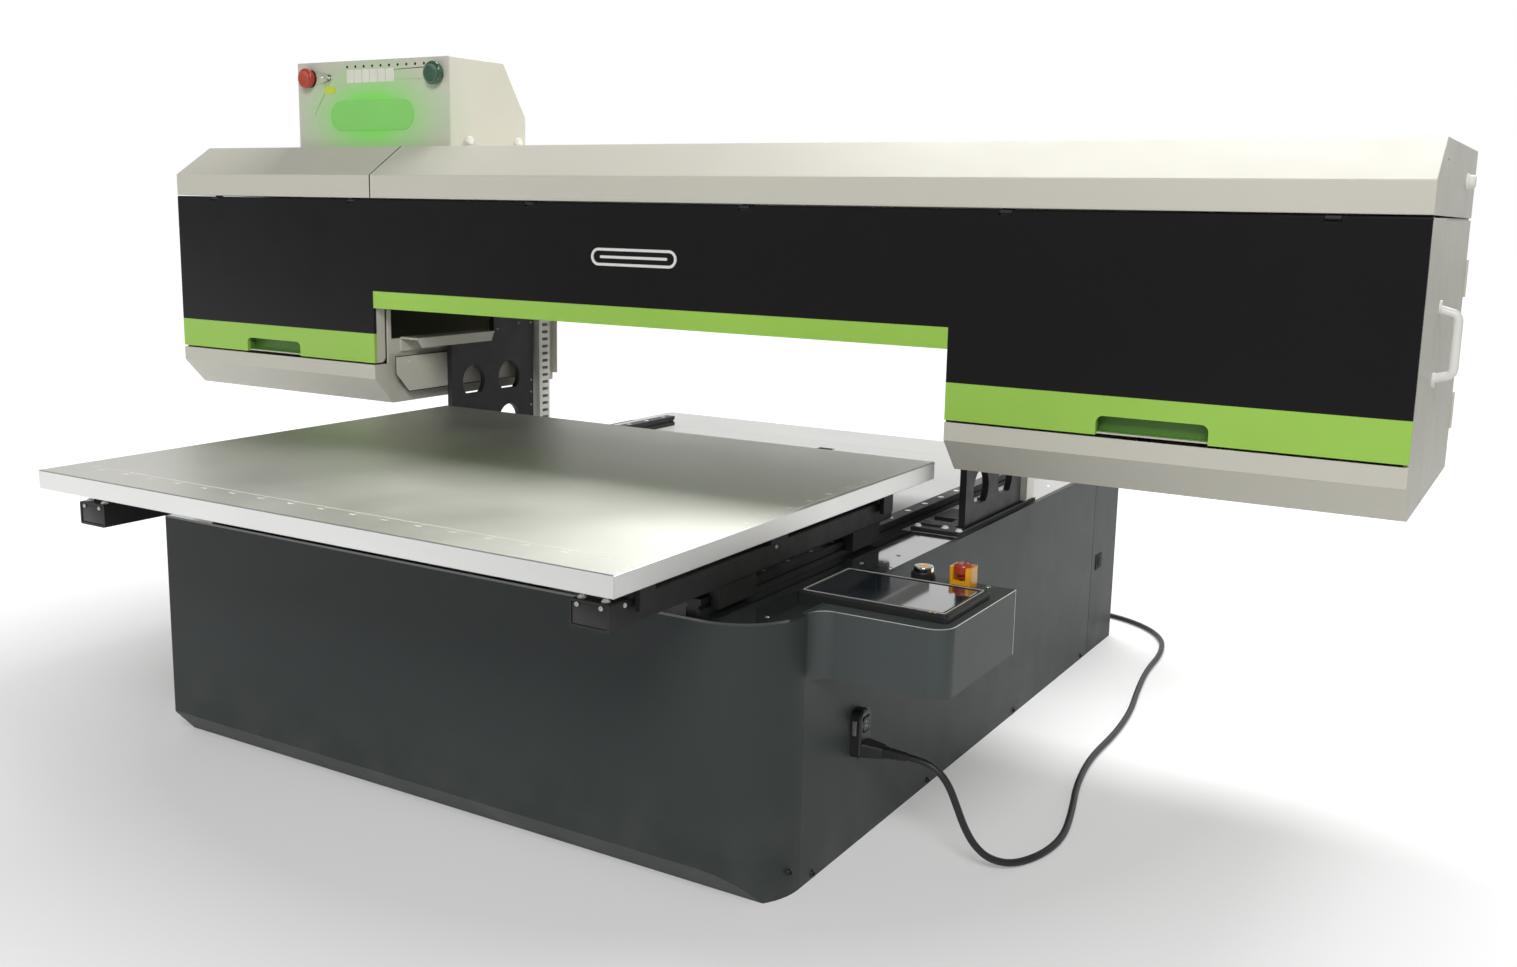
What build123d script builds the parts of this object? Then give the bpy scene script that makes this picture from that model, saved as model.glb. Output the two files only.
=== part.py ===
from build123d import *
from math import pi, radians, tan
import os

os.makedirs("parts", exist_ok=True)

# Flatbed UV printer. Millimetres. Origin: centre of the base's underside.
# +X to the right as the operator stands, +Y towards the back, +Z up.

# ---------------------------------------------------------------- driving dimensions
SHEET = 3.0                      # folded sheet-metal thickness of every cover
GAP = 0.5                        # visible seam between neighbouring covers

BASE_W, BASE_D, BASE_H = 1000.0, 1300.0, 331.0
BASE_X, BASE_Y = BASE_W / 2, BASE_D / 2
CORNER_R = 85.0                  # large vertical radius at the right front corner
FOLD_R = 4.0                     # fold at the left front corner
TOE_DEPTH, TOE_HEIGHT = 33.0, 37.0   # bevel under the front
FRONT_SEAM_Y = -BASE_Y + CORNER_R
REAR_SEAM_Y, REAR_SEAM = 501.0, 1.6
DECK_BREAK_Y = -113.0            # dark front deck ends, light tray begins
REAR_DECK_Y = 499.0              # light tray ends, rear deck cover begins
FLANGE = 7.0                     # inward lip along the top of the side panels
DECK_X = BASE_X - FLANGE - GAP

BED_W, BED_D, BED_T = 908.0, 755.0, 24.0
BED_TOP = 433.5
BED_FRONT = -865.5
TUBE_X, TUBE_W, TUBE_H, TUBE_Z = 398.0, 50.0, 29.5, 361.5
TUBE_FRONT, TUBE_REAR = -831.0, -180.0
BED_Z = BED_TOP - BED_T

RAIL_W, RAIL_H = 20.0, 19.0
RAIL_FRONT, RAIL_REAR = -640.0, 499.0
BLOCK_YS = (-580.0, -250.0)      # rear and front pairs of bed bearing blocks

GANTRY_L, GANTRY_R = -1000.0, 1060.0
GANTRY_FRONT, GANTRY_BACK = -218.0, 255.0
WING_BOTTOM, WING_FOLD = 440.0, 484.0
WING_BEVEL = 41.0
WING_IN_L, WING_IN_R = -514.0, 510.0     # inner faces of the two wings
HOOD_LOW, HOOD_FOLD, HOOD_TOP = 783.0, 820.0, 869.0
HOOD_SLOPE = 74.0
HOOD_SEAM_X = -515.0

DOOR_T = 6.0
DOOR_TOP = 781.5
DOOR_WING_LOW, DOOR_WING_STRIP = 511.0, 560.0
DOOR_MID_LOW, DOOR_MID_STRIP = 603.0, 631.0
DOOR_AXIS_Y, DOOR_AXIS_Z = GANTRY_FRONT + DOOR_T / 2, DOOR_TOP - DOOR_T / 2

LEG_IN, LEG_OUT = 477.0, 487.0
LEG_FRONT, LEG_SPLIT, LEG_BACK = -72.0, 40.0, 150.0
LEG_LOW, LEG_STEP = 150.0, 545.0

BEAM_L, BEAM_R = -960.0, 960.0
BEAM_Y0, BEAM_Y1 = 40.0, 150.0
BEAM_Z0, BEAM_Z1 = 690.0, 820.0
BEAM_WALL = 6.0

CARR_X = 785.0                   # parked centre of the carriage, inside the right wing
HEAD_Z = 556.0
BELT_Y, BELT_R, BELT_Z = 95.0, 16.0, 826.0
PULLEY_L, PULLEY_R = -940.0, 1000.0

POD_X1 = 658.0
POD_Y0, POD_Y1 = -537.0, -327.0
POD_Z0 = 250.0
SCREEN_X0, SCREEN_X1, SCREEN_Y0, SCREEN_Y1 = 458.0, 648.0, -513.0, -382.0
START_XY = (547.0, -350.0)
ESTOP_XY = (599.5, -351.0)

INLET_Y, INLET_Z = -428.0, 149.5
INLET_W, INLET_H, INLET_T = 30.0, 61.0, 14.0
CORD_D = 9.0

BOX_X0, BOX_X1, BOX_Y0, BOX_Y1 = -787.0, -429.0, -118.0, 75.0
BOX_TOP, BOX_REAR_Z, BOX_FLAT = 1015.0, 927.0, 135.0


# ---------------------------------------------------------------- shared helpers
def block(x0, x1, y0, y1, z0, z1, mode=Mode.ADD):
    """A box between two corners, in the part being built."""
    with Locations(((x0 + x1) / 2, (y0 + y1) / 2, (z0 + z1) / 2)):
        Box(abs(x1 - x0), abs(y1 - y0), abs(z1 - z0), mode=mode)


def rod(centre, radius, length, axis="Z", mode=Mode.ADD):
    """A cylinder centred on a point, along X, Y or Z."""
    turn = {"X": (0, 90, 0), "Y": (90, 0, 0), "Z": (0, 0, 0)}[axis]
    with Locations(centre):
        Cylinder(radius, length, rotation=turn, mode=mode)


def profile_yz(points, x0, x1, mode=Mode.ADD):
    """A YZ outline, extruded along X from x0 to x1."""
    with BuildSketch(Plane.YZ.offset(x0)) as face:
        with BuildLine():
            Polyline(*points, close=True)
        make_face()
    extrude(to_extrude=face.sketch, amount=x1 - x0, mode=mode)


def save(builder, name):
    """Label one finished piece and write it."""
    builder.part.label = name
    export_step(builder.part, f"parts/{name}.step")


# ---------------------------------------------------------------- base: pan and frame
FIX_X, FIX_Y, FIX_R = 400.0, 500.0, 6.5      # stand-fixing holes
PAN_T = 6.0
TUBE = 30.0                                   # frame tube size
UPRIGHT_X, UPRIGHT_YS = 425.0, (-540.0, -130.0, 230.0, 600.0)
FRAME_TOP = BASE_H - SHEET
REAR_R = 12.0                                 # rear corners of the base

with BuildPart() as base_pan:
    block(-BASE_X + SHEET, BASE_X - SHEET, -BASE_Y + TOE_DEPTH + 12, BASE_Y - SHEET, 0, PAN_T)
    fillet(base_pan.edges().filter_by(Axis.Z).group_by(Axis.Y)[0].sort_by(Axis.X)[-1], CORNER_R - 5)
    fillet(base_pan.edges().filter_by(Axis.Z).group_by(Axis.Y)[-1], REAR_R)
    with Locations((0, 0, PAN_T / 2)):
        with GridLocations(2 * FIX_X, 2 * FIX_Y, 2, 2):
            Hole(FIX_R)
save(base_pan, "base_pan")

with BuildPart() as base_frame:
    for side in (-1, 1):
        for z in (PAN_T, FRAME_TOP - TUBE):
            x0 = side * UPRIGHT_X - TUBE / 2
            block(x0, x0 + TUBE, UPRIGHT_YS[0], UPRIGHT_YS[-1], z, z + TUBE)
        for y in UPRIGHT_YS:
            x0 = side * UPRIGHT_X - TUBE / 2
            block(x0, x0 + TUBE, y - TUBE / 2, y + TUBE / 2, PAN_T, FRAME_TOP)
    for y in UPRIGHT_YS:
        block(-UPRIGHT_X, UPRIGHT_X, y - TUBE / 2, y + TUBE / 2, PAN_T, PAN_T + TUBE)
save(base_frame, "base_frame")

# ---------------------------------------------------------------- base: covers
def front_body(inset, y_end, z_low):
    """The front of the base as a solid: folded and rounded corners and the bevelled toe, inset all round."""
    with BuildPart() as body:
        with BuildSketch(Plane.XY.offset(z_low)) as plan:
            with Locations((0, (-BASE_Y + inset + y_end) / 2)):
                Rectangle(BASE_W - 2 * inset, BASE_Y - inset + y_end)
            left, right = plan.vertices().group_by(Axis.Y)[0].sort_by(Axis.X)
            fillet(left, FOLD_R - inset)
            fillet(plan.vertices().group_by(Axis.Y)[0].sort_by(Axis.X)[-1], CORNER_R - inset - 0.5)
        extrude(to_extrude=plan.sketch, amount=FRAME_TOP - z_low)
        front, floor_y = -BASE_Y + inset, -BASE_Y + TOE_DEPTH + 0.35 * inset
        bend_z = TOE_HEIGHT + 0.4 * inset
        toe = [(front - 5, z_low - 1), (front - 5, bend_z), (front, bend_z), (floor_y + inset, 0),
               (floor_y + inset, z_low - 1)]
        profile_yz(toe, -BASE_X - 5, BASE_X + 5, mode=Mode.SUBTRACT)
    return body.part


with BuildPart() as front_cover:
    add(front_body(0, FRONT_SEAM_Y, 0))
    add(front_body(SHEET, FRONT_SEAM_Y + 10, -1), mode=Mode.SUBTRACT)
save(front_cover, "front_cover")

with BuildPart() as side_panels:
    for side in (-1, 1):
        y0, y1 = FRONT_SEAM_Y + GAP, REAR_SEAM_Y
        block(side * (BASE_X - SHEET), side * BASE_X, y0, y1, 0, BASE_H)
        block(side * (BASE_X - FLANGE), side * BASE_X, y0, y1, FRAME_TOP, BASE_H)
save(side_panels, "side_panels")

VENT_W, VENT_H, VENT_ZS = 50.0, 4.0, (150.0, 160.0, 170.0, 180.0, 190.0, 200.0)
with BuildPart() as rear_cover:
    for inset, mode in ((0, Mode.ADD), (SHEET, Mode.SUBTRACT)):
        with BuildSketch() as plan:
            y0, y1 = REAR_SEAM_Y + REAR_SEAM - inset, BASE_Y - inset
            with Locations((0, (y0 + y1) / 2)):
                Rectangle(BASE_W - 2 * inset, y1 - y0)
            fillet(plan.vertices().group_by(Axis.Y)[-1], REAR_R - inset)
        extrude(to_extrude=plan.sketch, amount=FRAME_TOP, mode=mode)
    for z in VENT_ZS:
        with Locations((0, BASE_Y - SHEET / 2, z)):
            with GridLocations(80, 0, 7, 1):
                Box(VENT_W, 3 * SHEET, VENT_H, mode=Mode.SUBTRACT)
save(rear_cover, "rear_cover")

# Slots in the two decks for the bed's nut bracket and for the legs.
NUT_SLOT, NUT_SLOT_Y0, NUT_SLOT_Y1 = 16.0, -600.0, 440.0
with BuildPart() as front_deck:
    with BuildSketch(Plane.XY.offset(FRAME_TOP)) as plan:
        with Locations((0, (-BASE_Y + FRONT_SEAM_Y) / 2)):
            Rectangle(BASE_W, CORNER_R)
        fillet(plan.vertices().group_by(Axis.Y)[0].sort_by(Axis.X)[-1], CORNER_R - 0.5)
        fillet(plan.vertices().group_by(Axis.Y)[0].sort_by(Axis.X)[0], FOLD_R)
        with Locations((0, (FRONT_SEAM_Y + DECK_BREAK_Y) / 2)):
            Rectangle(2 * DECK_X, DECK_BREAK_Y - FRONT_SEAM_Y)
        with Locations((0, (NUT_SLOT_Y0 + DECK_BREAK_Y) / 2)):
            Rectangle(2 * NUT_SLOT, DECK_BREAK_Y - NUT_SLOT_Y0, mode=Mode.SUBTRACT)
    extrude(amount=SHEET)
save(front_deck, "front_deck")

LEG_SLOT_IN, LEG_SLOT_Y0, LEG_SLOT_Y1 = LEG_IN - 6, LEG_FRONT - 6, LEG_BACK + 6
with BuildPart() as rear_deck:
    block(-DECK_X, DECK_X, DECK_BREAK_Y + GAP, REAR_DECK_Y, FRAME_TOP, BASE_H)
    block(-NUT_SLOT, NUT_SLOT, DECK_BREAK_Y, NUT_SLOT_Y1, FRAME_TOP - 1, BASE_H + 1, mode=Mode.SUBTRACT)
    for side in (-1, 1):
        block(side * LEG_SLOT_IN, side * (LEG_OUT + 3), LEG_SLOT_Y0, LEG_SLOT_Y1, FRAME_TOP - 1,
              BASE_H + 1, mode=Mode.SUBTRACT)
save(rear_deck, "rear_deck")

with BuildPart() as rear_deck_cover:
    with BuildSketch(Plane.XY.offset(FRAME_TOP)) as plan:
        with Locations((0, (REAR_SEAM_Y + REAR_SEAM + BASE_Y) / 2)):
            Rectangle(BASE_W, BASE_Y - REAR_SEAM_Y - REAR_SEAM)
        fillet(plan.vertices().group_by(Axis.Y)[-1], REAR_R)
        with Locations((0, (REAR_DECK_Y + GAP + REAR_SEAM_Y + 2 * REAR_SEAM) / 2)):
            Rectangle(2 * DECK_X, REAR_SEAM_Y + 2 * REAR_SEAM - REAR_DECK_Y - GAP)
    extrude(amount=SHEET)
save(rear_deck_cover, "rear_deck_cover")

# ---------------------------------------------------------------- control pod
POD_FILLET, POD_CORNER = 22.0, 24.0


def pod_plan(inset, z):
    """The pod's outline seen from above: a hollow fillet where it leaves the base, a round outer corner."""
    x1, y0, y1 = POD_X1 - inset, POD_Y0 + inset, POD_Y1 - inset
    hollow_r, corner_r = POD_FILLET + inset, POD_CORNER - inset
    with BuildSketch(Plane.XY.offset(z)) as plan:
        with BuildLine():
            Line((BASE_X, y1), (x1, y1))
            Line((x1, y1), (x1, y0 + corner_r))
            RadiusArc((x1, y0 + corner_r), (x1 - corner_r, y0), corner_r)
            Line((x1 - corner_r, y0), (BASE_X + hollow_r - inset, y0))
            CenterArc((BASE_X + hollow_r - inset, y0 - hollow_r), hollow_r, 90, 90)
            Line((BASE_X - inset, y0 - hollow_r), (BASE_X - inset, y1 - 1))
            Line((BASE_X - inset, y1 - 1), (BASE_X, y1))
        make_face()
    return plan.sketch


with BuildPart() as control_pod:
    extrude(to_extrude=pod_plan(0, POD_Z0), amount=BASE_H - POD_Z0)
    extrude(to_extrude=pod_plan(SHEET, POD_Z0 + SHEET), amount=BASE_H - POD_Z0 - 2 * SHEET, mode=Mode.SUBTRACT)
save(control_pod, "control_pod")

BEZEL_TOP, BEZEL_W, GLASS_T = 341.0, 10.0, 3.0
with BuildPart() as screen_bezel:
    block(SCREEN_X0, SCREEN_X1, SCREEN_Y0, SCREEN_Y1, BASE_H, BEZEL_TOP)
    fillet(screen_bezel.edges().filter_by(Axis.Z), 6)
    chamfer(screen_bezel.faces().sort_by(Axis.Z)[-1].edges(), 2.5)
    block(SCREEN_X0 + BEZEL_W, SCREEN_X1 - BEZEL_W, SCREEN_Y0 + BEZEL_W, SCREEN_Y1 - BEZEL_W,
          BEZEL_TOP - GLASS_T, BEZEL_TOP + 1, mode=Mode.SUBTRACT)
save(screen_bezel, "screen_bezel")

GLASS_IN = BEZEL_W + 0.3
with BuildPart() as screen_glass:
    block(SCREEN_X0 + GLASS_IN, SCREEN_X1 - GLASS_IN, SCREEN_Y0 + GLASS_IN, SCREEN_Y1 - GLASS_IN,
          BEZEL_TOP - GLASS_T, BEZEL_TOP - 0.6)
save(screen_glass, "screen_glass")

START_R, START_LOW, COLLAR_TOP, START_TOP = 12.5, 341.0, 342.0, 349.0
with BuildPart() as start_collar:
    rod((*START_XY, (BASE_H + COLLAR_TOP) / 2), START_R + 2.3, COLLAR_TOP - BASE_H)
    chamfer(start_collar.faces().sort_by(Axis.Z)[-1].edges(), 1)
    rod((*START_XY, COLLAR_TOP), START_R + 0.4, 12, mode=Mode.SUBTRACT)
save(start_collar, "start_collar")

with BuildPart() as start_button:
    rod((*START_XY, (START_TOP + START_LOW) / 2), START_R, START_TOP - START_LOW)
    fillet(start_button.faces().sort_by(Axis.Z)[-1].edges(), 1.5)
save(start_button, "start_button")

SHROUD, SHROUD_TOP = 14.0, 357.0
STOP_R, STOP_Z0, STOP_Z1 = 11.2, 348.0, 360.0
with BuildPart() as estop_shroud:
    x, y = ESTOP_XY
    block(x - SHROUD, x + SHROUD, y - SHROUD, y + SHROUD, BASE_H, SHROUD_TOP)
    fillet(estop_shroud.edges().filter_by(Axis.Z), 5)
    rod((x, y, SHROUD_TOP), STOP_R + 0.8, 2 * (SHROUD_TOP - BASE_H - 4), mode=Mode.SUBTRACT)
    block(x - 8, x + 8, y - SHROUD - 1, y + SHROUD + 1, BASE_H + 10, SHROUD_TOP + 1, mode=Mode.SUBTRACT)
save(estop_shroud, "estop_shroud")

with BuildPart() as estop_button:
    rod((*ESTOP_XY, STOP_Z0 - 2.5), 6.0, 7.0)
    rod((*ESTOP_XY, (STOP_Z0 + STOP_Z1) / 2), STOP_R, STOP_Z1 - STOP_Z0)
    fillet(estop_button.faces().sort_by(Axis.Z)[-1].edges(), 4)
save(estop_button, "estop_button")

# ---------------------------------------------------------------- power inlet, rocker and cord
SOCKET_Z, ROCKER_Z = INLET_Z - 18.0, INLET_Z + 13.0
ROCKER_W, ROCKER_H = 8.0, 9.0            # half width and half height of the rocker
PLUG_W, PLUG_H = 11.5, 8.0               # half width and half height of the plug's nose
with BuildPart() as power_inlet:
    with BuildSketch(Plane.YZ.offset(BASE_X)) as plate:
        with Locations((INLET_Y, INLET_Z)):
            RectangleRounded(INLET_W, INLET_H, 10)
    extrude(amount=INLET_T)
    chamfer(power_inlet.faces().sort_by(Axis.X)[-1].edges(), 2)
    face_x = BASE_X + INLET_T
    for depth, z, half_w, half_h in ((8, ROCKER_Z, ROCKER_W + 1, ROCKER_H + 1.5), (10, SOCKET_Z, PLUG_W + 1, PLUG_H + 1)):
        block(face_x - depth, face_x + 1, INLET_Y - half_w, INLET_Y + half_w, z - half_h, z + half_h,
              mode=Mode.SUBTRACT)
save(power_inlet, "power_inlet")

ROCKER_X = BASE_X + INLET_T - 3.5
ROCKER_PIVOT_X = BASE_X + 12
with BuildPart() as rocker_switch:
    block(ROCKER_X - 2, ROCKER_X + 5.5, INLET_Y - ROCKER_W, INLET_Y + ROCKER_W, ROCKER_Z - ROCKER_H,
          ROCKER_Z + ROCKER_H)
    fillet(rocker_switch.faces().sort_by(Axis.X)[-1].edges().filter_by(Axis.Y), 3)
    rod((ROCKER_X + 26, INLET_Y, ROCKER_Z), 22.5, 30, axis="Y", mode=Mode.SUBTRACT)
    rod((ROCKER_PIVOT_X, INLET_Y, ROCKER_Z), 2.2, 2 * ROCKER_W + 1, axis="Y")
save(rocker_switch, "rocker_switch")

PLUG_X0, PLUG_X1, PLUG_END = BASE_X + INLET_T - 9, 541.0, 571.0
with BuildPart() as mains_plug:
    block(PLUG_X0, face_x + 1, INLET_Y - PLUG_W, INLET_Y + PLUG_W, SOCKET_Z - PLUG_H, SOCKET_Z + PLUG_H)
    with BuildSketch(Plane.YZ.offset(face_x + 0.5)) as wide:
        with Locations((INLET_Y, SOCKET_Z)):
            RectangleRounded(26, 19, 4)
    with BuildSketch(Plane.YZ.offset(PLUG_X1)) as narrow:
        with Locations((INLET_Y, SOCKET_Z)):
            RectangleRounded(17, 15, 4)
    loft(sections=[wide.sketch, narrow.sketch])
    with Locations(((PLUG_X1 + PLUG_END) / 2, INLET_Y, SOCKET_Z)):
        Cone(7.0, 5.2, PLUG_END - PLUG_X1, rotation=(0, 90, 0))
    for step in range(4):
        rod((PLUG_X1 + 4 + step * 7, INLET_Y, SOCKET_Z), 7.6 - 0.55 * step, 4, axis="X")
save(mains_plug, "mains_plug")

# Free length of the lead: out of the plug, down, along the base's right side, round behind it.
FLOOR = CORD_D / 2 + 0.3
cord_route = [
    (PLUG_END, INLET_Y, SOCKET_Z), (592, -428, 131), (610, -426, 123), (623, -424, 107), (632, -421, 84),
    (641, -417, 58), (652, -410, 34), (668, -398, 15), (690, -375, FLOOR + 0.4), (710, -330, FLOOR),
    (716, -268, FLOOR), (700, -186, FLOOR), (676, -92, FLOOR), (662, 14, FLOOR), (664, 124, FLOOR),
    (656, 236, FLOOR), (636, 346, FLOOR), (620, 458, FLOOR), (616, 566, FLOOR), (594, 660, FLOOR),
    (536, 728, FLOOR), (458, 762, FLOOR), (376, 769, FLOOR),
]
COIL_X, COIL_Y, COIL_R = 344.0, 818.5, 49.5


def turn_radii(route):
    """Radius at each corner: 0.45 of the shorter run over the tangent of half the turn."""
    radii = []
    for before, here, after in zip(route, route[1:], route[2:]):
        run_in = Vector(*here) - Vector(*before)
        run_out = Vector(*after) - Vector(*here)
        half = radians(run_in.get_angle(run_out)) / 2
        radii.append(0.45 * min(run_in.length, run_out.length) / tan(half))
    return radii


cord_radii = turn_radii(cord_route)
print("cord radii:", [round(r) for r in cord_radii])
with BuildPart() as mains_cord:
    with BuildLine() as cord_path:
        FilletPolyline(*cord_route, radius=cord_radii)
    with BuildSketch(Plane(origin=cord_route[0], z_dir=Vector(*cord_route[1]) - Vector(*cord_route[0]))):
        Circle(CORD_D / 2)
    sweep(path=cord_path.wire())
tube_length = cord_path.wire().length
tube_ratio = mains_cord.part.volume / (pi * CORD_D**2 / 4 * tube_length)
print("cord tube: length", round(tube_length), "volume ratio", round(tube_ratio, 4))
save(mains_cord, "mains_cord")

COIL_OUT, COIL_IN, COIL_H = COIL_R + 9.5, COIL_R - 9.5, 18.6
with BuildPart() as cord_coil:
    rod((COIL_X, COIL_Y, COIL_H / 2 + 0.3), COIL_OUT, COIL_H)
    fillet(cord_coil.edges(), 4)
    rod((COIL_X, COIL_Y, COIL_H / 2), COIL_IN, 2 * COIL_H, mode=Mode.SUBTRACT)
save(cord_coil, "cord_coil")

# Wall plug lies beside the coil, in line with the last turn, pins away from it.
WALL_PLUG_X, WALL_PLUG_Z = COIL_X - COIL_R, 14.3
WALL_PLUG_Y0, WALL_PLUG_Y1 = COIL_Y + 60, COIL_Y + 96
with BuildPart() as wall_plug:
    rod((WALL_PLUG_X, WALL_PLUG_Y0 - 12, WALL_PLUG_Z), 6.0, 30, axis="Y")
    block(WALL_PLUG_X - 17, WALL_PLUG_X + 17, WALL_PLUG_Y0, WALL_PLUG_Y1, 0.3, 28.3)
    fillet(wall_plug.edges().filter_by(Axis.Y), 5)
    for dx in (-9.5, 9.5):
        rod((WALL_PLUG_X + dx, WALL_PLUG_Y1 + 9, WALL_PLUG_Z), 2.4, 20, axis="Y")
save(wall_plug, "wall_plug")

# ---------------------------------------------------------------- deck fittings: seals, ducts, rails
SEAL_TOP, SEAL_IN, SEAL_Y0, SEAL_Y1 = BASE_H + 6, 421.0, -110.0, 205.0
SEAL_WINDOWS = ((-96.0, -80.0), (-58.0, -26.0), (40.0, 140.0))
with BuildPart() as leg_seals:
    for side in (-1, 1):
        block(side * SEAL_IN, side * DECK_X, SEAL_Y0, SEAL_Y1, BASE_H, SEAL_TOP)
        block(side * (LEG_IN - 3), side * (LEG_OUT + 3), LEG_FRONT - 4, LEG_BACK + 4, BASE_H - 1, SEAL_TOP + 1,
              mode=Mode.SUBTRACT)
        for y0, y1 in SEAL_WINDOWS:
            block(side * (SEAL_IN - 1), side * (SEAL_IN + 37), y0, y1, BASE_H - 1, SEAL_TOP + 1,
                  mode=Mode.SUBTRACT)
save(leg_seals, "leg_seals")

DUCT_IN, DUCT_OUT, DUCT_Y0, DUCT_Y1, DUCT_TOP = 470.0, 492.0, 160.0, 190.0, 690.0
DUCT_PITCH, DUCT_SLOT, DUCT_WALL = 13.5, 5.5, 2.0
with BuildPart() as wiring_ducts:
    for side in (-1, 1):
        block(side * DUCT_IN, side * DUCT_OUT, DUCT_Y0, DUCT_Y1, SEAL_TOP, DUCT_TOP)
        block(side * (DUCT_IN + DUCT_WALL), side * (DUCT_OUT - DUCT_WALL), DUCT_Y0 + DUCT_WALL,
              DUCT_Y1 - DUCT_WALL, SEAL_TOP - 1, DUCT_TOP + 1, mode=Mode.SUBTRACT)
    slots = int((DUCT_TOP - SEAL_TOP - 30) / DUCT_PITCH)
    for side in (-1, 1):
        for step in range(slots):
            z = (SEAL_TOP + DUCT_TOP) / 2 + (step - (slots - 1) / 2) * DUCT_PITCH
            with Locations((side * (DUCT_IN + 1), (DUCT_Y0 + DUCT_Y1) / 2 + 2, z)):
                Box(3 * DUCT_WALL, 16, DUCT_SLOT, mode=Mode.SUBTRACT)
save(wiring_ducts, "wiring_ducts")

with BuildPart() as y_rails:
    for side in (-1, 1):
        x = side * TUBE_X
        block(x - RAIL_W / 2, x + RAIL_W / 2, RAIL_FRONT, RAIL_REAR - 1, BASE_H, BASE_H + RAIL_H)
        for turn in (-1, 1):
            block(x + turn * (RAIL_W / 2 - 3), x + turn * RAIL_W, RAIL_FRONT - 1, RAIL_REAR, BASE_H + 7,
                  BASE_H + 12, mode=Mode.SUBTRACT)
save(y_rails, "y_rails")

# Upright guides in the base that the legs run on: plate, two rails each.
GUIDE_IN, GUIDE_OUT, Z_RAIL_OUT = 440.5, 452.0, 466.0
GUIDE_YS, Z_RAIL_W, GUIDE_Y0, GUIDE_Y1 = (-20.0, 100.0), 15.0, -70.0, 150.0
with BuildPart() as z_guides:
    for side in (-1, 1):
        block(side * GUIDE_IN, side * GUIDE_OUT, GUIDE_Y0, GUIDE_Y1, PAN_T, FRAME_TOP - 12)
        for y in GUIDE_YS:
            block(side * GUIDE_OUT, side * Z_RAIL_OUT, y - Z_RAIL_W / 2, y + Z_RAIL_W / 2, 14, FRAME_TOP - 14)
save(z_guides, "z_guides")

# ---------------------------------------------------------------- drives
Z_SCREW_X, Z_SCREW_Y, Z_SCREW_R = 465.0, 40.0, 6.0
Z_SCREW_LOW, Z_SCREW_TOP = 12.0, 308.0
Y_SCREW_Z, Y_SCREW_R = 285.0, 8.0
Y_SCREW_FRONT, Y_SCREW_REAR = -600.0, 440.0
MOTOR_HALF, MOTOR_LEN, BEARING_HALF, BEARING_T = 30.0, 100.0, 24.0, 18.0
with BuildPart() as drive_motors:
    for side in (-1, 1):
        block(side * (Z_SCREW_X - 9), side * (Z_SCREW_X + 9), 6, 74, PAN_T, 24)
        rod((side * Z_SCREW_X, Z_SCREW_Y, 18), Z_SCREW_R + 0.3, 20, mode=Mode.SUBTRACT)
    motor_y = Y_SCREW_REAR + 24
    block(-MOTOR_HALF, MOTOR_HALF, motor_y, motor_y + MOTOR_LEN, Y_SCREW_Z - MOTOR_HALF, Y_SCREW_Z + MOTOR_HALF)
    for y in (Y_SCREW_FRONT, Y_SCREW_REAR):
        block(-BEARING_HALF, BEARING_HALF, y - BEARING_T / 2, y + BEARING_T / 2, Y_SCREW_Z - BEARING_HALF,
              Y_SCREW_Z + BEARING_HALF)
        rod((0, y, Y_SCREW_Z), Y_SCREW_R + 0.3, 40, axis="Y", mode=Mode.SUBTRACT)
    block(-BEARING_HALF, BEARING_HALF, Y_SCREW_REAR + BEARING_T / 2, motor_y, Y_SCREW_Z - BEARING_HALF,
          Y_SCREW_Z - 14)
save(drive_motors, "drive_motors")

with BuildPart() as y_screw:
    screw_middle, screw_length = (Y_SCREW_FRONT + Y_SCREW_REAR) / 2, Y_SCREW_REAR - Y_SCREW_FRONT + 30
    rod((0, screw_middle, Y_SCREW_Z), Y_SCREW_R, screw_length, axis="Y")
    rod((0, Y_SCREW_REAR + 15, Y_SCREW_Z), 12, 11, axis="Y")
save(y_screw, "y_screw")

for side, name in ((-1, "left_z_screw"), (1, "right_z_screw")):
    with BuildPart() as z_screw:
        middle = (Z_SCREW_LOW + Z_SCREW_TOP) / 2
        rod((side * Z_SCREW_X, Z_SCREW_Y, middle), Z_SCREW_R, Z_SCREW_TOP - Z_SCREW_LOW)
        block(side * Z_SCREW_X - 4, side * Z_SCREW_X + 4, Z_SCREW_Y - 4, Z_SCREW_Y + 4,
              Z_SCREW_TOP - 2, Z_SCREW_TOP + 4)
    save(z_screw, name)

# ---------------------------------------------------------------- bed
with BuildPart() as bed_plate:
    block(-BED_W / 2, BED_W / 2, BED_FRONT, BED_FRONT + BED_D, BED_Z, BED_TOP)
    chamfer(bed_plate.edges(), 1.0)
save(bed_plate, "bed_plate")

with BuildPart() as bed_tubes:
    for side in (-1, 1):
        x = side * TUBE_X
        block(x - TUBE_W / 2, x + TUBE_W / 2, TUBE_FRONT, TUBE_REAR, TUBE_Z, TUBE_Z + TUBE_H)
    fillet(bed_tubes.edges().filter_by(Axis.Y), 3)
    for side in (-1, 1):
        x = side * TUBE_X
        block(x - TUBE_W / 2 + 3, x + TUBE_W / 2 - 3, TUBE_FRONT - 1, TUBE_REAR + 1, TUBE_Z + 3,
              TUBE_Z + TUBE_H - 3, mode=Mode.SUBTRACT)
save(bed_tubes, "bed_tubes")

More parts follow.
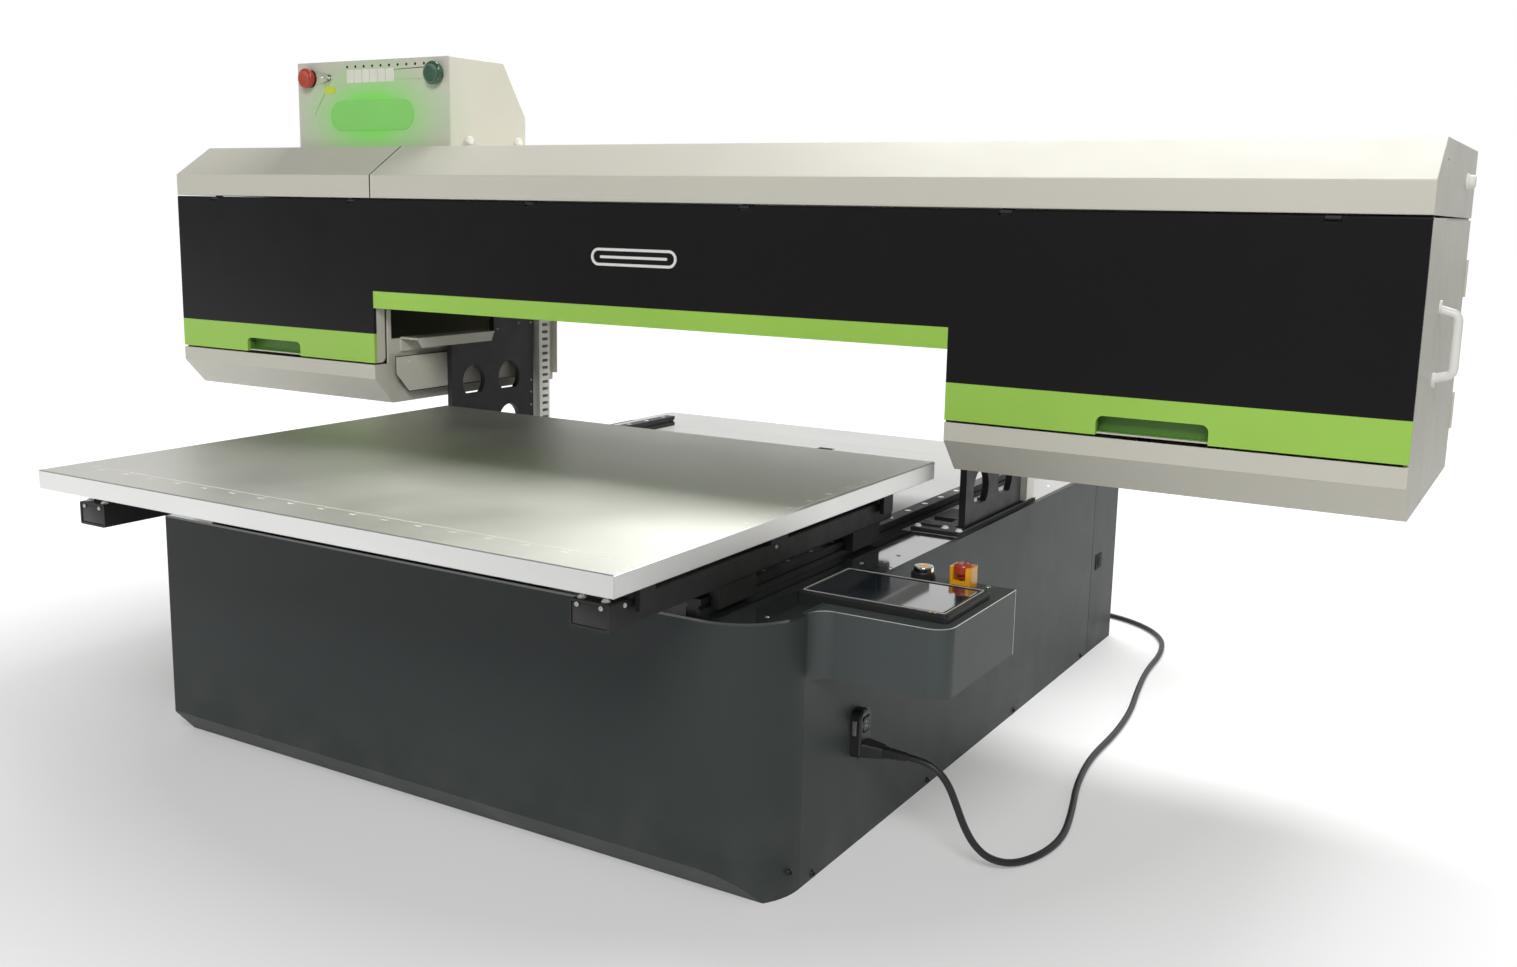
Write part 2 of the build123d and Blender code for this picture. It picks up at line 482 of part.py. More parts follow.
FRAME_Z = TUBE_Z + TUBE_H
FRAME_YS = (-780.0, -500.0, -215.0)
BAR_END = TUBE_X + 30.0               # ends of the cross bars
with BuildPart() as bed_frame:
    for y in FRAME_YS:
        block(-BAR_END, BAR_END, y - 20, y + 20, FRAME_Z, BED_Z)
    for side in (-1, 1):
        x = side * TUBE_X
        block(x - 10, x + 10, TUBE_FRONT + 10, TUBE_REAR + 8, FRAME_Z, BED_Z)
        for y in (FRAME_YS[0], FRAME_YS[-1]):
            block(side * BAR_END, side * (BAR_END + 6), y - 14, y + 14, FRAME_Z - 14, BED_Z)
save(bed_frame, "bed_frame")

NUT_Y, NUT_LEN = -560.0, 60.0
BLOCK_HALF_W, BLOCK_HALF_L = 22.0, 40.0
with BuildPart() as y_blocks:
    for side in (-1, 1):
        for y in BLOCK_YS:
            x = side * TUBE_X
            block(x - BLOCK_HALF_W, x + BLOCK_HALF_W, y - BLOCK_HALF_L, y + BLOCK_HALF_L, BASE_H + 5, TUBE_Z)
    for side in (-1, 1):
        x = side * TUBE_X
        block(x - RAIL_W / 2 - 0.4, x + RAIL_W / 2 + 0.4, RAIL_FRONT - 9, RAIL_REAR,
              BASE_H, BASE_H + RAIL_H + 0.5, mode=Mode.SUBTRACT)
    block(-12, 12, NUT_Y, NUT_Y + NUT_LEN, Y_SCREW_Z - 22, FRAME_Z)
    block(-60, 60, NUT_Y, NUT_Y + 2 * NUT_LEN, FRAME_Z - 8, FRAME_Z)
    rod((0, NUT_Y + NUT_LEN / 2, Y_SCREW_Z), Y_SCREW_R + 0.3, 200, axis="Y", mode=Mode.SUBTRACT)
save(y_blocks, "y_blocks")

# ---------------------------------------------------------------- gantry: legs, beam, rails
HOLE_R, HOLE_YS, HOLE_ZS = 29.0, (-15.0, 81.0), (465.0, 385.0)
FOOT_IN = 452.0                       # inner edge of the legs' top flanges
with BuildPart() as legs:
    for side in (-1, 1):
        block(side * LEG_IN, side * LEG_OUT, LEG_FRONT, LEG_BACK, LEG_LOW, LEG_STEP)
        block(side * LEG_IN, side * LEG_OUT, LEG_SPLIT, LEG_BACK, LEG_STEP, BEAM_Z0)
        block(side * FOOT_IN, side * LEG_OUT, LEG_SPLIT, LEG_BACK, BEAM_Z0 - 10, BEAM_Z0)
    for y in HOLE_YS:
        for z in HOLE_ZS:
            with BuildSketch(Plane.YZ) as hole:
                with Locations((y, z)):
                    Circle(HOLE_R)
                with Locations((y, z - HOLE_R)):
                    Rectangle(2 * HOLE_R, 14, mode=Mode.SUBTRACT)
            extrude(to_extrude=hole.sketch, amount=600, both=True, mode=Mode.SUBTRACT)
save(legs, "legs")

Z_BLOCK_ZS, Z_BLOCK_H = (160.0, 250.0), 58.0
Z_NUT_Z0, Z_NUT_Z1 = 190.0, 230.0
with BuildPart() as z_blocks:
    for side in (-1, 1):
        for y in GUIDE_YS:
            for z in Z_BLOCK_ZS:
                block(side * (GUIDE_OUT + 6), side * LEG_IN, y - 17, y + 17, z, z + Z_BLOCK_H)
    for side in (-1, 1):
        for y in GUIDE_YS:
            half = Z_RAIL_W / 2 + 0.3
            block(side * GUIDE_OUT, side * (Z_RAIL_OUT + 0.3), y - half, y + half, 100, 400, mode=Mode.SUBTRACT)
    for side in (-1, 1):
        block(side * (Z_SCREW_X - 11), side * LEG_IN, Z_SCREW_Y - 12, Z_SCREW_Y + 12, Z_NUT_Z0, Z_NUT_Z1)
        rod((side * Z_SCREW_X, Z_SCREW_Y, (Z_NUT_Z0 + Z_NUT_Z1) / 2), Z_SCREW_R + 0.3, 60, mode=Mode.SUBTRACT)
save(z_blocks, "z_blocks")

with BuildPart() as gantry_beam:
    block(BEAM_L, BEAM_R, BEAM_Y0, BEAM_Y1, BEAM_Z0, BEAM_Z1)
    block(BEAM_L - 1, BEAM_R + 1, BEAM_Y0 + BEAM_WALL, BEAM_Y1 - BEAM_WALL, BEAM_Z0 + BEAM_WALL,
          BEAM_Z1 - BEAM_WALL, mode=Mode.SUBTRACT)
save(gantry_beam, "gantry_beam")

X_RAIL_ZS, X_RAIL_H, X_RAIL_Y = (710.0, 800.0), 15.0, 26.0
with BuildPart() as x_rails:
    for z in X_RAIL_ZS:
        block(BEAM_L + 8, BEAM_R, X_RAIL_Y, BEAM_Y0, z - X_RAIL_H / 2, z + X_RAIL_H / 2)
save(x_rails, "x_rails")

X_MOTOR_HALF, X_MOTOR_Z0, X_MOTOR_Z1 = 29.0, 700.0, 812.0
with BuildPart() as x_drive:
    block(PULLEY_R - X_MOTOR_HALF, PULLEY_R + X_MOTOR_HALF, BELT_Y - X_MOTOR_HALF, BELT_Y + X_MOTOR_HALF,
          X_MOTOR_Z0, X_MOTOR_Z1)
    block(BEAM_R, PULLEY_R + 32, BEAM_Y0 + 10, BEAM_Y1 - 10, X_MOTOR_Z1, BEAM_Z1)
    rod((PULLEY_R, BELT_Y, X_MOTOR_Z1 + 4), 7.3, 10, mode=Mode.SUBTRACT)
    rod((PULLEY_L, BELT_Y, BEAM_Z1 + 12), 5.0, 24)
save(x_drive, "x_drive")

BELT_W, FLANGE_T = 15.0, 3.0
with BuildPart() as x_belt:
    for radius, mode in ((BELT_R + 1, Mode.ADD), (BELT_R - 1, Mode.SUBTRACT)):
        with BuildSketch(Plane.XY.offset(BELT_Z)) as loop:
            with Locations(((PULLEY_L + PULLEY_R) / 2, BELT_Y)):
                SlotCenterToCenter(PULLEY_R - PULLEY_L, 2 * radius)
        extrude(to_extrude=loop.sketch, amount=BELT_W, mode=mode)
save(x_belt, "x_belt")

with BuildPart() as x_drive_pulley:
    rod((PULLEY_R, BELT_Y, BELT_Z + BELT_W / 2), BELT_R - 1.4, BELT_W)
    rod((PULLEY_R, BELT_Y, BELT_Z + BELT_W + FLANGE_T / 2), BELT_R + 3, FLANGE_T)
    rod((PULLEY_R, BELT_Y, BELT_Z - 4), 7, 10)
save(x_drive_pulley, "x_drive_pulley")

with BuildPart() as x_idler_pulley:
    rod((PULLEY_L, BELT_Y, BELT_Z + BELT_W / 2), BELT_R - 1.4, BELT_W)
    rod((PULLEY_L, BELT_Y, BELT_Z + BELT_W + FLANGE_T / 2), BELT_R + 3, FLANGE_T)
    rod((PULLEY_L, BELT_Y, BELT_Z + 8), 5.3, 40, mode=Mode.SUBTRACT)
save(x_idler_pulley, "x_idler_pulley")

# ---------------------------------------------------------------- gantry: wing housings
CEIL = HOOD_LOW - 3                 # top edge of the wings' walls
WING_LIP = DOOR_WING_LOW - 3
FLANGE_W, FLANGE_Z0, REAR_COVER_Z = 12.0, 454.0, 598.0   # upright flange at the back of each wing
POST_Y0, POST_Y1 = -188.0, -178.0      # front post of each wing's inner wall
OPEN_Z = 549.0                      # lower edge of the carriage opening
tub = [(GANTRY_FRONT, WING_FOLD), (GANTRY_FRONT + WING_BEVEL, WING_BOTTOM), (GANTRY_BACK, WING_BOTTOM),
       (GANTRY_BACK, CEIL), (GANTRY_FRONT, CEIL)]
hollow = [(GANTRY_FRONT + SHEET, WING_FOLD + 1.3), (GANTRY_FRONT + WING_BEVEL + 1.3, WING_BOTTOM + SHEET),
          (GANTRY_BACK - SHEET, WING_BOTTOM + SHEET), (GANTRY_BACK - SHEET, CEIL + 5),
          (GANTRY_FRONT + SHEET, CEIL + 5)]
DOOR_BACK = GANTRY_FRONT + DOOR_T + 1

with BuildPart() as left_wing:
    profile_yz(tub, GANTRY_L, WING_IN_L)
    profile_yz(hollow, GANTRY_L + SHEET, WING_IN_L - SHEET, mode=Mode.SUBTRACT)
    block(GANTRY_L - 1, WING_IN_L + 1, GANTRY_FRONT - 1, DOOR_BACK, WING_LIP, CEIL + 1, mode=Mode.SUBTRACT)
    for y0, y1, z0 in ((GANTRY_FRONT - 1, POST_Y0, WING_LIP), (POST_Y1, GANTRY_BACK - 12, OPEN_Z)):
        block(WING_IN_L - SHEET - 1, WING_IN_L + 1, y0, y1, z0, CEIL + 1, mode=Mode.SUBTRACT)
    block(WING_IN_L - 5, WING_IN_L + FLANGE_W, GANTRY_BACK - SHEET, GANTRY_BACK, FLANGE_Z0, REAR_COVER_Z - 0.5)
save(left_wing, "left_wing")

END_FRAME_Y = -68.0
with BuildPart() as right_wing:
    profile_yz(tub, WING_IN_R, GANTRY_R)
    profile_yz(hollow, WING_IN_R + SHEET, GANTRY_R - 2 * SHEET, mode=Mode.SUBTRACT)
    block(GANTRY_R - 2 * SHEET - 1, GANTRY_R - SHEET, GANTRY_FRONT + WING_BEVEL + 2, END_FRAME_Y - 12,
          WING_BOTTOM + SHEET, CEIL + 1, mode=Mode.SUBTRACT)
    block(GANTRY_R - SHEET, GANTRY_R + 1, END_FRAME_Y, GANTRY_BACK + 1, WING_BOTTOM + SHEET, CEIL + 1,
          mode=Mode.SUBTRACT)
    block(GANTRY_R - 3 * SHEET, GANTRY_R, END_FRAME_Y + 14, GANTRY_BACK - 16, WING_BOTTOM + 18, CEIL - 12,
          mode=Mode.SUBTRACT)
    block(WING_IN_R - 1, GANTRY_R + 1, GANTRY_FRONT - 1, DOOR_BACK, WING_LIP, CEIL + 1, mode=Mode.SUBTRACT)
    for y0, y1, z0 in ((GANTRY_FRONT - 1, POST_Y0, WING_LIP), (POST_Y1, GANTRY_BACK - 12, OPEN_Z)):
        block(WING_IN_R - 1, WING_IN_R + SHEET + 1, y0, y1, z0, CEIL + 1, mode=Mode.SUBTRACT)
    block(WING_IN_R - FLANGE_W, WING_IN_R + 5, GANTRY_BACK - SHEET, GANTRY_BACK, FLANGE_Z0, REAR_COVER_Z - 0.5)
save(right_wing, "right_wing")

# ---------------------------------------------------------------- gantry: hood, rear, channel
hood = [(GANTRY_FRONT, HOOD_LOW), (GANTRY_FRONT, HOOD_FOLD), (GANTRY_FRONT + HOOD_SLOPE, HOOD_TOP),
        (GANTRY_BACK, HOOD_TOP), (GANTRY_BACK, CEIL)]
under = [(GANTRY_FRONT + SHEET, HOOD_LOW - 9), (GANTRY_FRONT + SHEET, HOOD_FOLD - 1.6),
         (GANTRY_FRONT + HOOD_SLOPE + 1, HOOD_TOP - SHEET), (GANTRY_BACK - SHEET, HOOD_TOP - SHEET),
         (GANTRY_BACK - SHEET, CEIL - 9)]
with BuildPart() as top_covers:
    profile_yz(hood, GANTRY_L, HOOD_SEAM_X - 1)
    profile_yz(under, GANTRY_L + SHEET, HOOD_SEAM_X, mode=Mode.SUBTRACT)
    profile_yz(hood, HOOD_SEAM_X + 1, GANTRY_R)
    profile_yz(under, HOOD_SEAM_X, GANTRY_R - SHEET, mode=Mode.SUBTRACT)
save(top_covers, "top_covers")

with BuildPart() as gantry_rear_cover:
    for y0, y1, z1 in ((GANTRY_BACK - SHEET, GANTRY_BACK, CEIL - GAP),
                       (GANTRY_BACK - 14, GANTRY_BACK - SHEET, REAR_COVER_Z + SHEET)):
        block(WING_IN_L + GAP, WING_IN_R - GAP, y0, y1, REAR_COVER_Z, z1)
save(gantry_rear_cover, "gantry_rear_cover")

CHANNEL_X, CHANNEL_Y0, CHANNEL_Y1 = -474.0, -158.0, 38.0
CHANNEL_TOP, LIP_Z, WALL_Z = 551.0, 534.0, 527.0
with BuildPart() as drip_channel:
    block(WING_IN_L, CHANNEL_X, CHANNEL_Y0, CHANNEL_Y1, CHANNEL_TOP - 3, CHANNEL_TOP)
    lip = [(CHANNEL_Y0, CHANNEL_TOP), (CHANNEL_Y0 + 12, LIP_Z), (CHANNEL_Y1 - 8, LIP_Z),
           (CHANNEL_Y1, CHANNEL_TOP)]
    profile_yz(lip, CHANNEL_X - 2, CHANNEL_X)
    block(WING_IN_L, WING_IN_L + 3, CHANNEL_Y0, CHANNEL_Y1, WALL_Z, CHANNEL_TOP)
save(drip_channel, "drip_channel")

# ---------------------------------------------------------------- front door
RETURN_DEPTH = 25.0
NOTCH_W, NOTCH_H = 135.0, 24.0
NOTCH_XS = (-760.0, 776.5)
DOOR_IN_Y = GANTRY_FRONT + DOOR_T
KNUCKLE_XS = (-900.0, -560.0, -180.0, 200.0, 580.0, 960.0)
KNUCKLE_W, PIN_R = 16.0, 1.5
with BuildPart() as door_panel:
    block(GANTRY_L, GANTRY_R, GANTRY_FRONT, DOOR_IN_Y, DOOR_WING_STRIP, DOOR_TOP)
    block(WING_IN_L, WING_IN_R, GANTRY_FRONT - 1, DOOR_IN_Y + 1, DOOR_WING_STRIP - 1, DOOR_MID_STRIP,
          mode=Mode.SUBTRACT)
    fillet(door_panel.faces().sort_by(Axis.Z)[-1].edges().filter_by(Axis.X), DOOR_T / 2 - 0.1)
    rod((GANTRY_L + 30, DOOR_AXIS_Y, DOOR_AXIS_Z), PIN_R + 0.2, 2 * (GANTRY_R - GANTRY_L), axis="X",
        mode=Mode.SUBTRACT)
    for x in KNUCKLE_XS:
        block(x - KNUCKLE_W / 2 - 1, x + KNUCKLE_W / 2 + 1, GANTRY_FRONT - 1, DOOR_IN_Y + 1, DOOR_AXIS_Z - 4,
              DOOR_TOP + 1, mode=Mode.SUBTRACT)
save(door_panel, "door_panel")

with BuildPart() as door_trim:
    block(GANTRY_L, WING_IN_L, GANTRY_FRONT, DOOR_IN_Y, DOOR_WING_LOW, DOOR_WING_STRIP)
    block(WING_IN_R, GANTRY_R, GANTRY_FRONT, DOOR_IN_Y, DOOR_WING_LOW, DOOR_WING_STRIP)
    block(WING_IN_L, WING_IN_R, GANTRY_FRONT, DOOR_IN_Y, DOOR_MID_LOW, DOOR_MID_STRIP)
    for x in NOTCH_XS:
        with BuildSketch(Plane.XZ.offset(-GANTRY_FRONT + 1)) as notch:
            with Locations((x, DOOR_WING_LOW)):
                RectangleRounded(NOTCH_W, 2 * NOTCH_H, 9)
        extrude(to_extrude=notch.sketch, amount=-(DOOR_T + 2), mode=Mode.SUBTRACT)
save(door_trim, "door_trim")

PULL_BACK = DOOR_IN_Y + 16
with BuildPart() as door_frame:
    for x, depth in ((WING_IN_L - 2, RETURN_DEPTH), (WING_IN_R, RETURN_DEPTH)):
        block(x, x + 2, DOOR_IN_Y, GANTRY_FRONT + depth, DOOR_WING_LOW, DOOR_MID_LOW + 4)
    fillet(door_frame.edges().filter_by(Axis.X).group_by(Axis.Z)[0].group_by(Axis.Y)[-1], 9)
    block(WING_IN_L - 2, WING_IN_R + 2, DOOR_IN_Y, DOOR_IN_Y + 12, DOOR_MID_LOW + 2, DOOR_MID_LOW + 4)
    for x in NOTCH_XS:
        half = NOTCH_W / 2 + 4
        block(x - half, x + half, DOOR_IN_Y, PULL_BACK, DOOR_WING_LOW + 1, DOOR_WING_LOW + NOTCH_H + 6)
        block(x - half + 2, x + half - 2, DOOR_IN_Y - 1, PULL_BACK - 2, DOOR_WING_LOW + 3,
              DOOR_WING_LOW + NOTCH_H + 4, mode=Mode.SUBTRACT)
save(door_frame, "door_frame")

KNUCKLE_R, ARM_Y = DOOR_T / 2 - 0.1, DOOR_AXIS_Y + 10
with BuildPart() as door_hinge_rod:
    rod(((GANTRY_L + GANTRY_R) / 2, DOOR_AXIS_Y, DOOR_AXIS_Z), PIN_R, GANTRY_R - GANTRY_L - 20, axis="X")
    for x in KNUCKLE_XS:
        x0, x1 = x - KNUCKLE_W / 2, x + KNUCKLE_W / 2
        rod((x, DOOR_AXIS_Y, DOOR_AXIS_Z), KNUCKLE_R, KNUCKLE_W, axis="X")
        block(x0, x1, DOOR_AXIS_Y, ARM_Y, DOOR_AXIS_Z - KNUCKLE_R, DOOR_AXIS_Z + KNUCKLE_R)
        block(x0, x1, ARM_Y - 3, ARM_Y, DOOR_AXIS_Z, HOOD_LOW + 17)
        block(x0, x1, GANTRY_FRONT + SHEET, ARM_Y, HOOD_LOW + 6, HOOD_LOW + 17)
save(door_hinge_rod, "door_hinge_rod")

# ---------------------------------------------------------------- end door
END_Y0, END_Y1, END_Z0, END_Z1 = END_FRAME_Y + 1, GANTRY_BACK - 3.5, WING_BOTTOM + SHEET + 1, CEIL - 2.5
END_HINGE_ZS = (520.0, 700.0)
with BuildPart() as end_door:
    block(GANTRY_R - SHEET + 0.3, GANTRY_R, END_Y0, END_Y1, END_Z0, END_Z1)
    for z in END_HINGE_ZS:
        rod((GANTRY_R + 1.2, END_Y1 - 1, z), 1.8, 50)
save(end_door, "end_door")

HANDLE_Y, HANDLE_Z0, HANDLE_Z1, HANDLE_OUT = END_Y0 + 14, 592.0, 674.0, 21.0
with BuildPart() as end_handle:
    with BuildLine() as grip:
        FilletPolyline((GANTRY_R, HANDLE_Y, HANDLE_Z0), (GANTRY_R + HANDLE_OUT, HANDLE_Y, HANDLE_Z0 + 6),
                       (GANTRY_R + HANDLE_OUT, HANDLE_Y, HANDLE_Z1 - 6), (GANTRY_R, HANDLE_Y, HANDLE_Z1),
                       radius=9)
    with BuildSketch(Plane(origin=(GANTRY_R, HANDLE_Y, HANDLE_Z0), z_dir=(HANDLE_OUT, 0, 6))):
        Circle(5.5)
    sweep(path=grip.wire())
    block(GANTRY_R - 8, GANTRY_R, HANDLE_Y - 10, HANDLE_Y + 10, HANDLE_Z0 - 20, HANDLE_Z1 + 20,
          mode=Mode.SUBTRACT)
    for z in (HANDLE_Z0 - 2, HANDLE_Z1 + 2):
        rod((GANTRY_R + 1.5, HANDLE_Y, z), 9, 3, axis="X")
save(end_handle, "end_handle")

# ---------------------------------------------------------------- top box and its controls
box_out = [(BOX_Y0, HOOD_TOP), (BOX_Y0, BOX_TOP), (BOX_Y0 + BOX_FLAT, BOX_TOP), (BOX_Y1, BOX_REAR_Z),
           (BOX_Y1, HOOD_TOP)]
box_in = [(BOX_Y0 + 2, HOOD_TOP - 1), (BOX_Y0 + 2, BOX_TOP - 2), (BOX_Y0 + BOX_FLAT - 1, BOX_TOP - 2),
          (BOX_Y1 - 2, BOX_REAR_Z - 1), (BOX_Y1 - 2, HOOD_TOP - 1)]
BUTTON_Z = 988.0
RED_X, GREEN_X, TOGGLE_X = -755.0, -458.0, -707.0
with BuildPart() as top_box:
    profile_yz(box_out, BOX_X0, BOX_X1)
    profile_yz(box_in, BOX_X0 + 2, BOX_X1 - 2, mode=Mode.SUBTRACT)
    for x, radius in ((RED_X, 13.0), (GREEN_X, 13.0), (TOGGLE_X, 5.0)):
        rod((x, BOX_Y0, BUTTON_Z), radius, 20, axis="Y", mode=Mode.SUBTRACT)
save(top_box, "top_box")

for name, x, head, press in (("red_button", RED_X, 17.0, 7.0), ("green_button", GREEN_X, 19.0, 5.0)):
    with BuildPart() as push_button:
        rod((x, BOX_Y0 - press - 4, BUTTON_Z), head, 8, axis="Y")
        fillet(push_button.faces().sort_by(Axis.Y)[0].edges(), 2.5)
        rod((x, BOX_Y0, BUTTON_Z), 12.5, 2 * press + 10, axis="Y")
    save(push_button, name)

with BuildPart() as toggle_lever:
    rod((TOGGLE_X, BOX_Y0, BUTTON_Z), 3.0, 7, axis="X")
    rod((TOGGLE_X, BOX_Y0 - 6, BUTTON_Z), 2.2, 20, axis="Y")
    with Locations((TOGGLE_X, BOX_Y0 - 17, BUTTON_Z)):
        Sphere(3.4)
save(toggle_lever, "toggle_lever")

# ---------------------------------------------------------------- carriage and capping tray
CX0, CX1 = CARR_X - 85, CARR_X + 85
CY0, PLATE_Y, PLATE_T = -168.0, 0.0, 12.0
PLATE_Z0, PLATE_Z1, COVER_TOP = 600.0, 815.0, 770.0
HEAD_DXS = (-48.0, 0.0, 48.0)
HEAD_Y0, HEAD_Y1 = -150.0, -30.0
CLAMP_HALF, CLAMP_Y1, CLAMP_TOP = 15.0, 86.0, 848.0
with BuildPart() as carriage_body:
    block(CX0, CX1, CY0, PLATE_Y, HEAD_Z + 19, COVER_TOP)
    block(CX0 + 3, CX1 - 3, CY0 + 3, PLATE_Y - 3, HEAD_Z + 25, COVER_TOP + 1, mode=Mode.SUBTRACT)
    block(CX0 - 10, CX1 + 10, PLATE_Y, PLATE_Y + PLATE_T, PLATE_Z0, PLATE_Z1)
    for x in (CX0 + 22, CX1 - 22):
        for z in X_RAIL_ZS:
            block(x - 28, x + 28, PLATE_Y + PLATE_T, 36, z - 17, z + 17)
            block(x - 29, x + 29, X_RAIL_Y - 0.4, 37, z - X_RAIL_H / 2 - 0.4, z + X_RAIL_H / 2 + 0.4,
                  mode=Mode.SUBTRACT)
    for y0, y1, z0 in ((PLATE_Y, PLATE_Y + PLATE_T, PLATE_Z1), (PLATE_Y, CLAMP_Y1, CLAMP_TOP - 5),
                       (71, BELT_Y - BELT_R - 1.6, BELT_Z), (BELT_Y - BELT_R + 1.6, CLAMP_Y1, BELT_Z)):
        block(CARR_X - CLAMP_HALF, CARR_X + CLAMP_HALF, y0, y1, z0, CLAMP_TOP)
save(carriage_body, "carriage_body")

with BuildPart() as print_heads:
    for dx in HEAD_DXS:
        block(CARR_X + dx - 18, CARR_X + dx + 18, HEAD_Y0, HEAD_Y1, HEAD_Z, HEAD_Z + 19)
        block(CARR_X + dx - 16, CARR_X + dx + 16, HEAD_Y0 + 5, HEAD_Y1 - 5, HEAD_Z + 25, COVER_TOP - 28)
save(print_heads, "print_heads")

LAMP_W, LAMP_TOP = 42.0, 668.0
with BuildPart() as uv_lamps:
    for x0, x1 in ((CX0 - LAMP_W, CX0), (CX1, CX1 + LAMP_W)):
        block(x0, x1, HEAD_Y0, HEAD_Y1, HEAD_Z + 6, LAMP_TOP)
    chamfer(uv_lamps.edges().filter_by(Axis.Y).group_by(Axis.Z)[-1], 8)
save(uv_lamps, "uv_lamps")

CAP_TOP, CAP_MIDDLE = HEAD_Z - 1, (HEAD_Y0 + HEAD_Y1) / 2
TRAY_Z0, TRAY_FLOOR, TRAY_Z1 = 505.0, 520.0, 545.0
TRAY_W, TRAY_D = 75.0, 68.0              # half width and half depth
with BuildPart() as capping_tray:
    block(CARR_X - TRAY_W, CARR_X + TRAY_W, CAP_MIDDLE - TRAY_D, CAP_MIDDLE + TRAY_D, TRAY_Z0, TRAY_Z1)
    block(CARR_X - TRAY_W + 3, CARR_X + TRAY_W - 3, CAP_MIDDLE - TRAY_D + 3, CAP_MIDDLE + TRAY_D - 3,
          TRAY_FLOOR, TRAY_Z1 + 1, mode=Mode.SUBTRACT)
    for dx in HEAD_DXS:
        block(CARR_X + dx - 19, CARR_X + dx + 19, HEAD_Y0 - 1, HEAD_Y1 + 1, TRAY_FLOOR, CAP_TOP)
        block(CARR_X + dx - 16, CARR_X + dx + 16, HEAD_Y0 + 2, HEAD_Y1 - 2, TRAY_FLOOR + 15, CAP_TOP + 1,
              mode=Mode.SUBTRACT)
    for dx in (-50.0, 50.0):
        rod((CARR_X + dx, CAP_MIDDLE, TRAY_Z0 - 14), 8, 30)
save(capping_tray, "capping_tray")
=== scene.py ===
import math

import bmesh
import bpy
from mathutils import Matrix, Vector


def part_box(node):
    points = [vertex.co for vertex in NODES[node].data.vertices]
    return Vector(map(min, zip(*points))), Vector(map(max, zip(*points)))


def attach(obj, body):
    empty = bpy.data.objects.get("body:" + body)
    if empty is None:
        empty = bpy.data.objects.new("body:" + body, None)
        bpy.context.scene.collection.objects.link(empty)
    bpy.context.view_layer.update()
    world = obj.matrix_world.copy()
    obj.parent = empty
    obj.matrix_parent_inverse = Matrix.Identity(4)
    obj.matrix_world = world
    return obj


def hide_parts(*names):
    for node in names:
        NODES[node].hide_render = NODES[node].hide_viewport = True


# Flatbed UV printer: looks and small details round the CAD frame.
# Details are built in millimetres, in the frame of the CAD part, and scaled once into metres.
MM = 0.001

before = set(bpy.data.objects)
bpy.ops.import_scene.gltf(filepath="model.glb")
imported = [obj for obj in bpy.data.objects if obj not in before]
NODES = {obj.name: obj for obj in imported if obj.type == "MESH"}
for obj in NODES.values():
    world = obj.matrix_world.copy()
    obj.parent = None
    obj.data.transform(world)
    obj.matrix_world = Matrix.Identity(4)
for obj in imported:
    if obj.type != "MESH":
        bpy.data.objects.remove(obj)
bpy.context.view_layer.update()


def cad(node):
    """The lowest and highest corner of a CAD node, in millimetres."""
    low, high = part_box(node)
    return low / MM, high / MM


# ---------------------------------------------------------------- material building blocks
def new_material(name):
    """A material with its tree and its Principled shader."""
    material = bpy.data.materials.new(name)
    material.use_nodes = True
    tree = material.node_tree
    return material, tree, tree.nodes["Principled BSDF"]


def own_coordinates(tree, stretch=(1.0, 1.0, 1.0)):
    """The piece's own coordinates in metres, scaled along each axis."""
    coords = tree.nodes.new("ShaderNodeTexCoord")
    mapping = tree.nodes.new("ShaderNodeMapping")
    mapping.inputs["Scale"].default_value = stretch
    tree.links.new(coords.outputs["Object"], mapping.inputs["Vector"])
    return mapping.outputs["Vector"]


def noise(tree, scale, detail=2.0, stretch=(1.0, 1.0, 1.0), roughness=0.5):
    """Noise of about that many grains a metre."""
    texture = tree.nodes.new("ShaderNodeTexNoise")
    texture.inputs["Scale"].default_value = scale
    texture.inputs["Detail"].default_value = detail
    texture.inputs["Roughness"].default_value = roughness
    tree.links.new(own_coordinates(tree, stretch), texture.inputs["Vector"])
    return texture.outputs["Fac"]


def between(tree, factor, low, high, start=0.3, end=0.7):
    """A value going from low to high as the factor goes from start to end."""
    spread = tree.nodes.new("ShaderNodeMapRange")
    spread.inputs["From Min"].default_value = start
    spread.inputs["From Max"].default_value = end
    spread.inputs["To Min"].default_value = low
    spread.inputs["To Max"].default_value = high
    tree.links.new(factor, spread.inputs["Value"])
    return spread.outputs["Result"]


def mix_colour(tree, factor, first, second):
    """Two colours, or colour sockets, mixed by a factor socket."""
    mix = tree.nodes.new("ShaderNodeMix")
    mix.data_type = "RGBA"
    tree.links.new(factor, mix.inputs[0])
    for socket, value in ((mix.inputs[6], first), (mix.inputs[7], second)):
        if isinstance(value, bpy.types.NodeSocket):
            tree.links.new(value, socket)
        else:
            socket.default_value = (*value, 1.0)
    return mix.outputs[2]


def bump(tree, shader, height, depth):
    """Relief of that depth in metres from a height socket, on top of any relief already there."""
    relief = tree.nodes.new("ShaderNodeBump")
    relief.inputs["Strength"].default_value = 1.0
    relief.inputs["Distance"].default_value = depth
    tree.links.new(height, relief.inputs["Height"])
    if shader.inputs["Normal"].is_linked:
        tree.links.new(shader.inputs["Normal"].links[0].from_socket, relief.inputs["Normal"])
    tree.links.new(relief.outputs["Normal"], shader.inputs["Normal"])


def shaded(colour, share):
    """A colour made lighter or darker by a share."""
    return tuple(min(1.0, c * (1.0 + share)) for c in colour)


